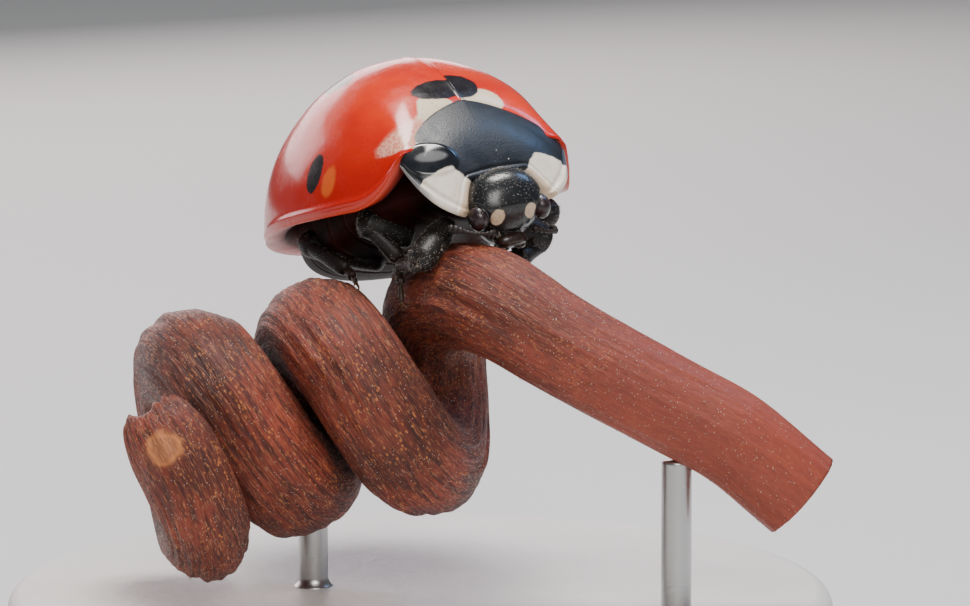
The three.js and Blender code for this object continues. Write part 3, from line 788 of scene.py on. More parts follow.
@dataclass(frozen=True)
class NeckShieldFinish(Finish):
    """Black shield with fine shagreen, cream front corners and a grey side bead."""

    name: str = "neck_shield_black"
    coat_roughness: float = 0.12
    specular: float = 0.6
    bump_mm: float = 0.005
    black: Colour = (0.006, 0.008, 0.012, 1)
    cream: Colour = (0.88, 0.8, 0.68, 1)
    dull_cream: Colour = (0.74, 0.62, 0.47, 1)
    amber: Colour = (0.62, 0.34, 0.12, 1)
    bead: Colour = (0.34, 0.33, 0.33, 1)
    # Grey of the painted reflection: a lamp's ellipse inside the polished oval.
    painted_reflection: Colour = (0.2, 0.2, 0.205, 1)
    dust: Colour = (0.8, 0.78, 0.72, 1)

    def recipe(self, board: Board) -> dict[str, Any]:
        """Black, then cream, amber front margin, painted grey reflection in the oval, bead and
        dust; shagreen as relief.
        """
        place = board.place_mm()
        cream = board.marking("cream", place, 9.0, 0.05, 0.018)
        shade = board.effect(Effect.CLOUD, place, 5.0, tone=self.cream, other=self.dull_cream,
                             low=0.45, high=0.8)
        colour = board.mix(cream, self.black, shade)
        colour = board.mix(board.value("amber"), colour, self.amber)
        # Painted reflection: a grey ellipse of lamp light inside the polished oval.
        colour = board.mix(board.times(board.value("painted_reflection"), 0.8), colour, self.painted_reflection)
        colour = board.mix(board.times(board.value("bead"), 0.8), colour, self.bead)
        grains = board.effect(Effect.SPECKS, place, 5.0, share=0.12, size=0.08)
        colour = board.mix(grains, colour, self.dust)
        swell = board.value("swell")
        smooth = board.minus(1.0, swell)
        fine = board.noise(place, 24.0, 2.0, 0.5)
        pores = board.effect(Effect.PORES, place, 20.0, size=0.34)
        relief = board.plus(fine, board.times(pores, 0.35))
        height = board.times(relief, board.plus(smooth, 0.02))
        rough = board.step(board.noise(place, 3.0, 3.0), 0.3, 0.7, 0.36, 0.46)
        rough = board.minus(rough, board.times(swell, 0.24))
        coat = board.times(swell, 0.5)
        return {"Base Color": colour, "Height": height, "Roughness": rough, "Coat Weight": coat}


@dataclass(frozen=True)
class HeadFinish(Finish):
    """Black pitted head with two pale tan spots between the eyes."""

    name: str = "head_black"
    roughness: float = 0.3
    coat: float = 0.45
    coat_roughness: float = 0.16
    bump_mm: float = 0.014
    black: Colour = (0.008, 0.009, 0.011, 1)
    tan: Colour = (0.68, 0.52, 0.35, 1)
    dull_tan: Colour = (0.56, 0.4, 0.25, 1)
    brown: Colour = (0.03, 0.013, 0.008, 1)

    def recipe(self, board: Board) -> dict[str, Any]:
        """Black, brown toward the mouth, tan inside the two spots; pits as relief."""
        place = board.place_mm()
        colour = board.mix(board.value("mouth"), self.black, self.brown)
        spot = board.marking("spot", place, 12.0, 0.05, 0.012)
        shade = board.effect(Effect.CLOUD, place, 14.0, tone=self.tan, other=self.dull_tan,
                             low=0.4, high=0.7)
        colour = board.mix(spot, colour, shade)
        pores = board.effect(Effect.PORES, place, 15.0, size=0.36)
        fine = board.noise(place, 30.0, 3.0)
        keep = board.minus(1.0, board.times(spot, 0.7))
        relief = board.plus(board.times(pores, keep), board.times(fine, 0.25))
        return {"Base Color": colour, "Height": relief}


@dataclass(frozen=True)
class EyeFinish(Finish):
    """Dark purple-brown eye of many facets."""

    name: str = "eye_facets"
    roughness: float = 0.25
    coat: float = 0.4
    coat_roughness: float = 0.1
    bump_mm: float = 0.004
    purple: Colour = (0.022, 0.009, 0.012, 1)
    dark: Colour = (0.01, 0.004, 0.006, 1)
    facet_rim: Colour = (0.05, 0.026, 0.03, 1)

    def recipe(self, board: Board) -> dict[str, Any]:
        """Facets as domes of a cell pattern, each a little lighter at its rim."""
        place = board.place_mm()
        pores = board.effect(Effect.PORES, place, 34.0, size=0.7)
        tone = board.effect(Effect.CLOUD, place, 4.0, tone=self.purple, other=self.dark,
                            low=0.3, high=0.7)
        colour = board.mix(board.times(pores, 0.3), tone, self.facet_rim)
        return {"Base Color": colour, "Height": board.minus(1.0, pores)}


@dataclass(frozen=True)
class LimbFinish(Finish):
    """Black limb that turns brown toward the foot and the claws."""

    name: str = "limb_black"
    roughness: float = 0.46
    specular: float = 0.4
    bump_mm: float = 0.008
    black: Colour = (0.012, 0.0105, 0.01, 1)
    brown: Colour = (0.035, 0.015, 0.008, 1)
    claw: Colour = (0.12, 0.05, 0.015, 1)

    def recipe(self, board: Board) -> dict[str, Any]:
        """Black to brown by `foot`, to amber by `claw`; small pits as relief."""
        place = board.place_mm()
        drift = board.noise(place, 4.0, 3.0)
        brown = board.times(board.value("foot"), board.step(drift, 0.2, 0.7, 0.6, 1.0))
        colour = board.mix(brown, self.black, self.brown)
        colour = board.mix(board.value("claw"), colour, self.claw)
        pores = board.effect(Effect.PORES, place, 14.0, size=0.25)
        fine = board.noise(place, 26.0, 3.0)
        return {"Base Color": colour, "Height": board.plus(pores, board.times(fine, 0.4))}


@dataclass(frozen=True)
class BellyFinish(Finish):
    """Dark red-brown underside, a little lighter where its plates meet."""

    name: str = "belly_brown"
    roughness: float = 0.5
    specular: float = 0.06
    bump_mm: float = 0.008
    dark: Colour = (0.008, 0.003, 0.003, 1)
    brown: Colour = (0.035, 0.007, 0.005, 1)
    groove: Colour = (0.07, 0.022, 0.012, 1)

    def recipe(self, board: Board) -> dict[str, Any]:
        """Two dark tones in soft clouds, lighter at the grooves between plates."""
        place = board.place_mm()
        cloud = board.effect(Effect.CLOUD, place, 1.6, tone=self.dark, other=self.brown,
                             low=0.38, high=0.66)
        colour = board.mix(board.value("groove"), cloud, self.groove)
        pores = board.effect(Effect.PORES, place, 12.0, size=0.3)
        return {"Base Color": colour, "Height": pores}


@dataclass(frozen=True)
class HairFinish(Finish):
    """Pale fine hair."""

    name: str = "hair_pale"
    roughness: float = 0.38
    pale: Colour = (0.62, 0.56, 0.48, 1)
    brown: Colour = (0.26, 0.2, 0.15, 1)

    def recipe(self, board: Board) -> dict[str, Any]:
        """Pale hair, browner in places."""
        cloud = board.effect(Effect.CLOUD, board.place_mm(), 5.0, tone=self.pale,
                             other=self.brown, low=0.4, high=0.65)
        return {"Base Color": cloud}


@dataclass(frozen=True)
class BarkFinish(Finish):
    """Dry reddish-brown tendril: lengthwise fibres, tan threads, orange flecks, pale grains."""

    name: str = "tendril_bark"
    coat: float = 0.08
    coat_roughness: float = 0.4
    bump_mm: float = 0.055
    brown: Colour = (0.13, 0.024, 0.013, 1)
    dark: Colour = (0.03, 0.007, 0.008, 1)
    red: Colour = (0.36, 0.06, 0.03, 1)
    tan: Colour = (0.62, 0.25, 0.1, 1)
    pale: Colour = (0.8, 0.62, 0.5, 1)
    orange: Colour = (0.72, 0.24, 0.06, 1)
    wood: Colour = (0.7, 0.27, 0.11, 1)

    def recipe(self, board: Board) -> dict[str, Any]:
        """Layers of tone over the fibres, calmer where `smooth`; the scar shows lighter wood."""
        place = board.place_mm()
        grain = board.value("grain", "Vector")
        smooth = board.value("smooth")
        busy = board.minus(1.0, board.times(smooth, 0.75))
        fibre = board.effect(Effect.FIBRES, grain, 13.0, stretch=0.2)
        fine = board.effect(Effect.FIBRES, grain, 34.0, stretch=0.22)
        base = board.effect(Effect.CLOUD, place, 0.5, tone=self.brown, other=self.red,
                            low=0.42, high=0.68)
        colour = board.mix(board.times(smooth, 0.7), base, self.red)
        streak = board.times(board.step(fibre, 0.38, 0.58, 0.75, 0.0), busy)
        colour = board.mix(streak, colour, self.dark)
        thread = board.times(board.step(fine, 0.53, 0.7, 0.0, 0.7), busy)
        colour = board.mix(thread, colour, self.tan)
        drift = board.step(board.noise(place, 1.6, 3.0), 0.42, 0.62)
        flecks = board.effect(Effect.SPECKS, grain, 15.0, share=0.4, size=0.42)
        flecks = board.times(board.times(flecks, drift), busy)
        colour = board.mix(board.times(flecks, 0.7), colour, self.orange)
        grains = board.effect(Effect.SPECKS, place, 22.0, share=0.12, size=0.3)
        colour = board.mix(board.times(grains, 0.8), colour, self.pale)
        wood = board.value("wood")
        ring = board.step(board.maths("ABSOLUTE", board.minus(wood, 0.4)), 0.0, 0.3, 0.8, 0.0)
        ring = board.times(ring, board.step(wood, 0.02, 0.2))
        colour = board.mix(ring, colour, self.orange)
        wood = board.times(wood, board.step(fine, 0.35, 0.6, 0.6, 1.0))
        colour = board.mix(wood, colour, self.wood)
        height = board.plus(board.times(fibre, 1.3), board.times(fine, 0.8))
        height = board.plus(board.times(height, busy), board.times(grains, 0.3))
        rough = board.step(fine, 0.3, 0.7, 0.68, 0.42)
        return {"Base Color": colour, "Height": height, "Roughness": rough}


@dataclass(frozen=True)
class PlinthFinish(Finish):
    """Satin off-white base with a faint moulded grain."""

    name: str = "plinth_satin"
    white: Colour = (0.74, 0.73, 0.7, 1)
    grey: Colour = (0.7, 0.69, 0.66, 1)

    def recipe(self, board: Board) -> dict[str, Any]:
        """Off-white in two close tones over a fine grain."""
        place = board.place_mm()
        cloud = board.effect(Effect.CLOUD, place, 0.4, tone=self.white, other=self.grey,
                             low=0.35, high=0.65)
        grain = board.noise(place, 9.0, 4.0, 0.6)
        rough = board.step(grain, 0.3, 0.7, 0.44, 0.56)
        return {"Base Color": cloud, "Height": grain, "Roughness": rough}


@dataclass(frozen=True)
class RodFinish(Finish):
    """Brushed steel rod."""

    name: str = "rod_steel"
    metallic: float = 1.0
    bump_mm: float = 0.003
    dark: Colour = (0.5, 0.5, 0.5, 1)
    light: Colour = (0.62, 0.62, 0.61, 1)

    def recipe(self, board: Board) -> dict[str, Any]:
        """Steel grey with fine rings from the brush."""
        parts = board.add("ShaderNodeSeparateXYZ", {0: board.place_mm()})
        height = board.add("ShaderNodeCombineXYZ", {2: parts.outputs["Z"]}).outputs[0]
        rings = board.noise(height, 30.0, 4.0, 0.7)
        tone = board.mix(rings, self.dark, self.light)
        rough = board.step(rings, 0.3, 0.7, 0.26, 0.4)
        return {"Base Color": tone, "Height": rings, "Roughness": rough}


# ---------------------------------------------------------------- the wing cases' dome
def dome_profile(y: Array, length: float, peak_at: float, peak: float, base: float,
                 tail: float) -> Array:
    """Height or half-width of the dome at y.

    Before the peak it is the ellipse p sqrt(1 - ((a - y) / r)^2) with r = a / sqrt(1 - (b / p)^2);
    after it p (1 - t^n)^(1/n), t running from 0 at the peak to 1 at the tail.
    """
    reach = peak_at / math.sqrt(1 - (base / peak) ** 2)
    before = peak * np.sqrt(np.clip(1 - ((peak_at - y) / reach) ** 2, 0, None))
    rest = np.clip((y - peak_at) / (length - peak_at), 0, 1)
    return np.where(y < peak_at, before, peak * (1 - rest**tail) ** (1 / tail))


@dataclass(frozen=True)
class Dome:
    """Outer form of the closed wing cases, in millimetres."""

    length: float = 5.72
    half_width: float = 2.83
    widest_at: float = 2.53
    base_half_width: float = 2.02
    height: float = 3.13
    highest_at: float = 2.16
    base_height: float = 2.03
    tail: float = 2.18
    sweep: float = 0.49
    rise: float = 0.79
    rise_end: float = 0.97
    tail_drop: float = -0.42
    front_pinch: float = 0.3
    fill: float = 0.1

    def margin(self, y: Array) -> Array:
        """Height of the margin: raised at the front corners and dropped at the tail."""
        rise = self.rise * np.clip(1 - y / self.rise_end, 0, 1) ** 2.5
        rear = np.clip((y - self.widest_at) / (self.length - self.widest_at), 0, 1)
        return rise + self.tail_drop * rear**2

    def widths(self, y: Array, inset: float) -> tuple[Array, Array]:
        """Half-width and height at y, kept inside the outer face by the inset."""
        length = self.length - inset
        width = dome_profile(y, length, self.widest_at, self.half_width - inset,
                             self.base_half_width - inset, self.tail)
        height = dome_profile(y, length, self.highest_at, self.height - inset,
                              self.base_height - inset, self.tail)
        return width, height

    def point(self, s: Array, angle: Array, inset: Array | float = 0.0) -> Array:
        """Point at s (0 at the base to 1 at the tail) and angle (0 at the midline, + to the left).

        x = w sin(a)^n, y = L (1 - (1 - s)^2) - k (1 - s)^2 sin(a)^2, z = m + (t - m) cos(a)^n.
        """
        inset_value = float(np.max(inset))
        y = (self.length - inset_value) * (1 - (1 - s) ** 2)
        width, height = self.widths(y, inset_value)
        margin = self.margin(y)
        top = np.maximum(height + self.tail_drop * ease(y, self.highest_at, self.length), margin)
        power = 0.98 - self.fill * hump(y, 0.7, 0.8) + self.front_pinch * np.exp(-y / 0.12)
        back = self.sweep * (1 - s) ** 2 * np.sin(angle) ** 2
        x = width * signed_power(np.sin(angle), power)
        z = between(margin, top, np.cos(angle).clip(0) ** power)
        return np.stack([x, y - back, z], -1)

    def along(self, s: Array) -> Array:
        """Length along the back at s, before the sweep of the front corners."""
        return self.length * (1 - (1 - s) ** 2)

    def normal(self, s: Array, angle: Array) -> Array:
        """Outward normal, from small steps both ways."""
        step = 1e-3
        ahead, behind = np.clip(s - step, 0, 1), np.clip(s + step, 0, 0.999)
        down = self.point(behind, angle) - self.point(ahead, angle)
        round_ = self.point(s, angle + step) - self.point(s, angle - step)
        return unit(np.cross(round_, down) * -1.0)


DOME = Dome()


@dataclass(frozen=True)
class Marking:
    """Elliptic marking on the dome, given by its length along the back and its angle."""

    y: float
    angle: float
    half_length: float
    half_arc: float
    tilt: float = 0.0

    def distance(self, y: Array, angle: Array) -> Array:
        """Signed distance in millimetres, negative inside: (|q / h| - 1) by the mean half-size."""
        width, height = DOME.widths(np.clip(y, 0.3, 5.0), 0.0)
        arc = (angle - self.angle) * (0.5 * (width + height))
        run = y - self.y
        c, s = math.cos(self.tilt), math.sin(self.tilt)
        a = (run * c + arc * s) / self.half_length
        b = (arc * c - run * s) / self.half_arc
        return (np.hypot(a, b) - 1) * math.sqrt(self.half_length * self.half_arc)


@dataclass
class WingCase:
    """One wing case: domed shell with margin, suture edge, markings and a soft front lip."""

    side: int
    material: Material
    rows: int = 210
    columns: int = 150
    crowding: float = 1.35
    last_row: float = 0.992
    gap: float = 0.005
    thickness: float = 0.5
    lip: float = 0.2
    groove_depth: float = 0.035
    bead_height: float = 0.008
    suture_depth: float = 0.012
    shoulder_height: float = 0.035
    dip_depth: float = 0.02
    waves: int = 9
    wave_height: float = 0.0013
    spots: tuple[Marking, ...] = (
        Marking(1.84, 1.28, 0.2, 0.39, -0.4),
        Marking(2.3, 0.5, 0.42, 0.34, 0.2),
        Marking(4.3, 0.78, 0.42, 0.38, -0.2),
    )
    # Painted caustic light: orange glow beside the side spot, on the near case.
    painted_caustic: Marking = Marking(1.44, 1.36, 0.17, 0.28, -0.4)
    near_middle_spot: tuple[Pair, Pair] = ((0.33, 0.22), (0.64, 0.2))
    far_middle_spot: tuple[Pair, Pair] = ((0.12, 0.26), (0.46, 0.26))
    near_angles: tuple[float, ...] = (0.12, 0.2, 0.25, 0.32, 0.42, 0.52, 0.6, 0.7, 0.85)
    near_runs: tuple[float, ...] = (-0.1, 0.03, 0.09, 0.15, 0.19, 0.12, 0.05, 0.012, -0.03)
    far_angles: tuple[float, ...] = (0.0, 0.1, 0.2, 0.32, 0.45, 0.6)
    far_runs: tuple[float, ...] = (-0.02, 0.1, 0.17, 0.2, 0.14, -0.05)
    # Where the painted peach sheen ends: length along the back, by angle.
    sheen_angles: tuple[float, ...] = (0.5, 0.7, 0.91, 1.08, 1.18, 1.26, 1.34)
    sheen_runs: tuple[float, ...] = (-0.1, 0.02, 0.12, 0.27, 0.4, 0.36, -0.1)

    def build(self) -> Object:
        """Makes the case and its inner face."""
        s, angle = self._parameters()
        outer = self._outer(s, angle)
        inner = self._inner(s, angle)
        surface = Surface.sheet(*rolled(outer, inner, self._values(s, angle), self.lip))
        surface.points[:, 0] = surface.points[:, 0] * self.side
        surface.values["inside"] = np.repeat([0.0, 1.0], len(surface.points) // 2)
        name = "left" if self.side > 0 else "right"
        surface.facing_out()
        return surface.build(f"wing_case_{name}", Place.BEETLE, self.material, "wing_case",
                             [f"elytron_{name}"])

    def _parameters(self) -> tuple[Array, Array]:
        """Grid of s and angle, closer together at the front, the suture and the margin."""
        rows = np.linspace(0, 1, self.rows) ** self.crowding * self.last_row
        across = np.linspace(0, 1, self.columns)
        across = across - 0.09 * np.sin(2 * np.pi * across) / np.pi * 1.4
        return mesh_grid(rows, across * np.pi / 2)

    def _relief(self, s: Array, angle: Array) -> Array:
        """Height over the plain dome: margin groove and bead, suture edge, shoulder bump.

        The groove is -g exp(-((t - 0.968) / 0.014)^2), weaker at both ends of the case, and the
        bead b exp(-((t - 0.99) / 0.012)^2), t running from 0 at the suture to 1 at the margin.
        """
        t = angle / (np.pi / 2)
        y = DOME.along(s)
        wide = 0.55 + 0.45 * ease(y, 0.1, 0.9)
        groove = -self.groove_depth * hump(t, 0.968, 0.014) * wide * (1 - 0.6 * ease(y, 3.2, 5.4))
        bead = self.bead_height * hump(t, 0.99, 0.012)
        edge = -self.suture_depth * np.exp(-((t * 90) / 1.2) ** 1.3)
        shoulder = self.shoulder_height * hump(y, 0.55, 0.4) * hump(angle, 1.05, 0.22)
        dip = -self.dip_depth * hump(y, 0.85, 0.4) * hump(angle, 0.75, 0.25)
        rng = np.random.default_rng(5)
        wave = np.zeros_like(t)
        for _ in range(self.waves):
            a, b, c = rng.uniform(1.5, 5.5), rng.uniform(1.5, 5.5), rng.uniform(0, 6.28)
            wave += np.sin(a * y + b * angle * 2.6 + c) * self.wave_height
        return groove + bead + edge + shoulder + dip + wave

    def _outer(self, s: Array, angle: Array) -> Array:
        """The dome moved along its normal by the relief, kept off the suture plane by the gap."""
        grid = DOME.point(s, angle) + DOME.normal(s, angle) * self._relief(s, angle)[..., None]
        grid[..., 0] = np.maximum(grid[..., 0], 0) + self.gap
        return grid

    def _inner(self, s: Array, angle: Array) -> Array:
        """Inner face, brought up to the suture edge and the margin as a folded rim."""
        grid = DOME.point(s, angle, self.thickness)
        t = angle / (np.pi / 2)
        rim = hump(t, 1.0, 0.08)[..., None]
        tuck = DOME.point(s, angle) * np.array([0.86, 1.0, 1.0])
        tuck[..., 1] = grid[..., 1] * 0.6 + DOME.point(s, angle)[..., 1] * 0.4
        tuck[..., 2] = DOME.margin(DOME.along(s)) + 0.09
        grid = grid * (1 - rim) + tuck * rim
        grid[..., 0] = np.maximum(grid[..., 0], 0) + self.gap
        return grid

    def _values(self, s: Array, angle: Array) -> dict[str, Array]:
        """Distances to the spots, the pale patch and the painted caustic light, and the shares of
        rim, depth, painted sheen and dirt.
        """
        y = DOME.along(s)
        place = DOME.point(s, angle)
        spot = np.min([mark.distance(y, angle) for mark in self.spots], axis=0)
        near = self.side < 0
        centre, reach = self.near_middle_spot if near else self.far_middle_spot
        away = np.linalg.norm((place[..., :2] - centre) / np.array(reach), axis=-1)
        return {
            "spot": np.minimum(spot, (away - 1) * 0.3),
            "cream": self._cream(y, angle),
            # painted caustic: orange light focused beside the side spot, near case only
            "painted_caustic": self.painted_caustic.distance(y, angle) if near else np.ones_like(y),
            "rim": hump(angle, np.pi / 2, 0.03) * (1 - 0.5 * ease(y, 3.5, 5.5)),
            "depth": np.clip(ease(angle, 0.75, 1.45) * (1 - 0.35 * ease(y, 2.5, 5.0)), 0, 1),
            # painted sheen: peach lamp highlight near the base, near case only
            "painted_sheen": ease(np.interp(angle, self.sheen_angles, self.sheen_runs) - y, -0.06, 0.1) * near,
            "dirt": (ease(-self._cream(y, angle), 0.0, 0.04) * (angle > 0.3) * 0.7
                     + hump(y, 0.62, 0.07) * hump(angle, 1.12, 0.05) * 1.3
                     + hump(y, 0.5, 0.3) * hump(angle, 1.32, 0.05) * 0.6) * near,
        }

    def _cream(self, y: Array, angle: Array) -> Array:
        """Distance to the pale patch at the base: length along the back less the patch's own."""
        if self.side < 0:
            return y - np.interp(angle, self.near_angles, self.near_runs)
        return y - np.interp(angle, self.far_angles, self.far_runs)


@dataclass
class Scutellum:
    """Small three-cornered plate between the bases of the wing cases."""

    material: Material
    half_width: float = 0.24
    front: float = -0.08
    length: float = 0.4
    sunk: float = 0.015
    depth: float = 0.3

    def build(self) -> Object:
        """Makes the plate: width w (1 - 0.96 u^1.4), on the dome's middle line, domed across."""
        u, v = mesh_grid(np.linspace(0, 1, 40), np.linspace(-1, 1, 41))
        y = self.front + u * (self.length - self.front)
        x = v * self.half_width * (1 - 0.96 * u**1.4)
        near = np.array(0.05)
        rise = (DOME.point(near, np.array(0.0))[2] - DOME.base_height) / DOME.along(near)
        z = DOME.base_height - self.sunk + rise * y - 0.02 * v**2 - 0.025 * np.abs(v) ** 8
        outer = np.stack([x, y, z], -1)
        inner = outer * np.array([0.9, 1, 1]) - np.array([0, 0, self.depth])
        zero = {name: np.zeros_like(u) for name in ("swell", "painted_reflection", "amber", "bead")}
        surface = Surface.sheet(outer, inner, {**zero, "cream": np.ones_like(u)})
        return surface.build("scutellum", Place.BEETLE, self.material, "black_shell", ["scutellum"])


# ---------------------------------------------------------------- neck shield
@dataclass
class NeckShield:
    """Shield over the neck: its cream corners, beaded margins and one polished oval."""

    material: Material
    half_width: float = 1.94
    hind_height: float = 2.0
    hind_corner: Pair = (-0.5, 0.76)
    hind_middle: float = -0.06
    arch_power: float = 1.38
    front_half_width: float = 1.15
    front_tip: Pair = (-1.24, -0.24)
    front_middle: Pair = (-1.06, 0.4)
    notch_edge: Pair = (0.55, 1.05)
    disc_swell: Pair = (0.108, 0.084)
    flank_swell: Pair = (0.102, 0.136)
    twist: float = -5.0
    thickness: float = 0.45
    bead_height: float = 0.012
    groove_depth: float = 0.035
    furrow_depth: float = 0.02
    corner_height: float = 0.035
    oval_height: float = 0.035
    oval_centre: Spot = (-1.36, -0.74, 0.78)
    oval_long: Spot = (1.13, -0.27, 0.22)
    oval_short: Spot = (-0.09, -0.39, -0.76)
    oval_halves: Pair = (0.57, 0.4)
    cream_starts: tuple[float, ...] = (0.3, 0.34, 0.38, 0.45, 0.55, 0.7, 0.85, 1.0)
    cream_edges: tuple[float, ...] = (1.1, 1.0, 0.9, 0.84, 0.76, 0.64, 0.62, 0.62)
    rows: int = 130
    columns: int = 190

    def point(self, u: Array, v: Array, inset: float = 0.0) -> Array:
        """Point at u (0 hind, 1 front) and v (-1 right, 1 left): margins blended, then swells."""
        angle = v * np.pi / 2
        cos = np.cos(angle).clip(0)
        arch = cos**self.arch_power
        hind = np.stack([(self.half_width - inset) * signed_power(np.sin(angle), self.arch_power),
                         between(self.hind_corner[0], self.hind_middle, cos**2),
                         between(self.hind_corner[1], self.hind_height - inset, arch)], -1)
        drop = ease(np.abs(v), *self.notch_edge)
        y, z = (between(*ends, drop) for ends in zip(self.front_middle, self.front_tip))
        front = np.stack([(self.front_half_width - 0.6 * inset) * v, y + 0.5 * inset,
                          z - 0.15 * inset], -1)
        place = hind * (1 - u[..., None]) + front * u[..., None]
        swell = np.sin(np.pi * u)
        place[..., 0] += self.flank_swell[0] * swell * np.sign(v) * np.abs(v) ** 3
        place[..., 1] -= self.disc_swell[0] * swell
        flank = self.flank_swell[1] * swell * np.abs(v) ** 5
        place[..., 2] += self.disc_swell[1] * swell * cos**0.5 - flank
        turn = np.radians(self.twist * u)
        x = place[..., 0] * np.cos(turn) + place[..., 2] * np.sin(turn)
        z = -place[..., 0] * np.sin(turn) + place[..., 2] * np.cos(turn)
        return np.stack([x, place[..., 1], z], -1)

    def _oval(self, grid: Array) -> tuple[Array, Array]:
        """Shares of the polished oval and of the painted reflection, a pale ellipse in it, by
        elliptic distance.
        """
        offset = grid - np.array(self.oval_centre)
        a = offset @ unit(np.array(self.oval_long)) / self.oval_halves[0]
        b = offset @ unit(np.array(self.oval_short)) / self.oval_halves[1]
        painted_reflection = np.hypot((a - 0.05) / 0.62, (b + 0.1) / 0.34)
        return 1 - ease(np.hypot(a, b), 0.86, 1.04), 1 - ease(painted_reflection, 0.7, 1.05)

    def build(self) -> Object:
        """Makes the shield."""
        across = np.linspace(-1, 1, self.columns)
        across = across - 0.035 * np.sin(np.pi * across)
        u, v = mesh_grid(np.linspace(0.03, 0.985, self.rows), across)
        grid = self.point(u, v)
        oval, painted_reflection = self._oval(grid)
        edge = np.abs(v)
        relief = self.bead_height * hump(edge, 0.975, 0.014)
        relief = relief - self.groove_depth * hump(edge, 0.93, 0.025) + self.oval_height * oval
        corner = self.corner_height * (1 - ease(u, 0.05, 0.3)) * hump(edge, 0.72, 0.22)
        relief = relief - self.furrow_depth * hump(u, 0.94, 0.02) + corner
        outer = lifted(grid, relief, (0, -0.2, 0))
        inner = self.point(u, v, self.thickness)
        border = np.interp(u, self.cream_starts, self.cream_edges)
        values = {
            "cream": (border - edge) * 1.4,
            "amber": 0.45 * ease(u, 0.975, 0.985) * ease(edge, 0.6, 0.68),
            "bead": ease(edge, 0.962, 0.975) * (1 - ease(u, 0.45, 0.6)),
            "swell": oval,
            # painted reflection: pale ellipse of lamp light inside the oval
            "painted_reflection": painted_reflection,
        }
        sheet = rolled(outer, inner, values, 0.1)
        sheet = rolled(*sheet, 0.07, end=True)
        sheet = rolled(*sheet, 0.1, axis=1)
        surface = Surface.sheet(*rolled(*sheet, 0.1, axis=1, end=True))
        return surface.build("neck_shield", Place.BEETLE, self.material, "black_shell",
                             ["pronotum"])


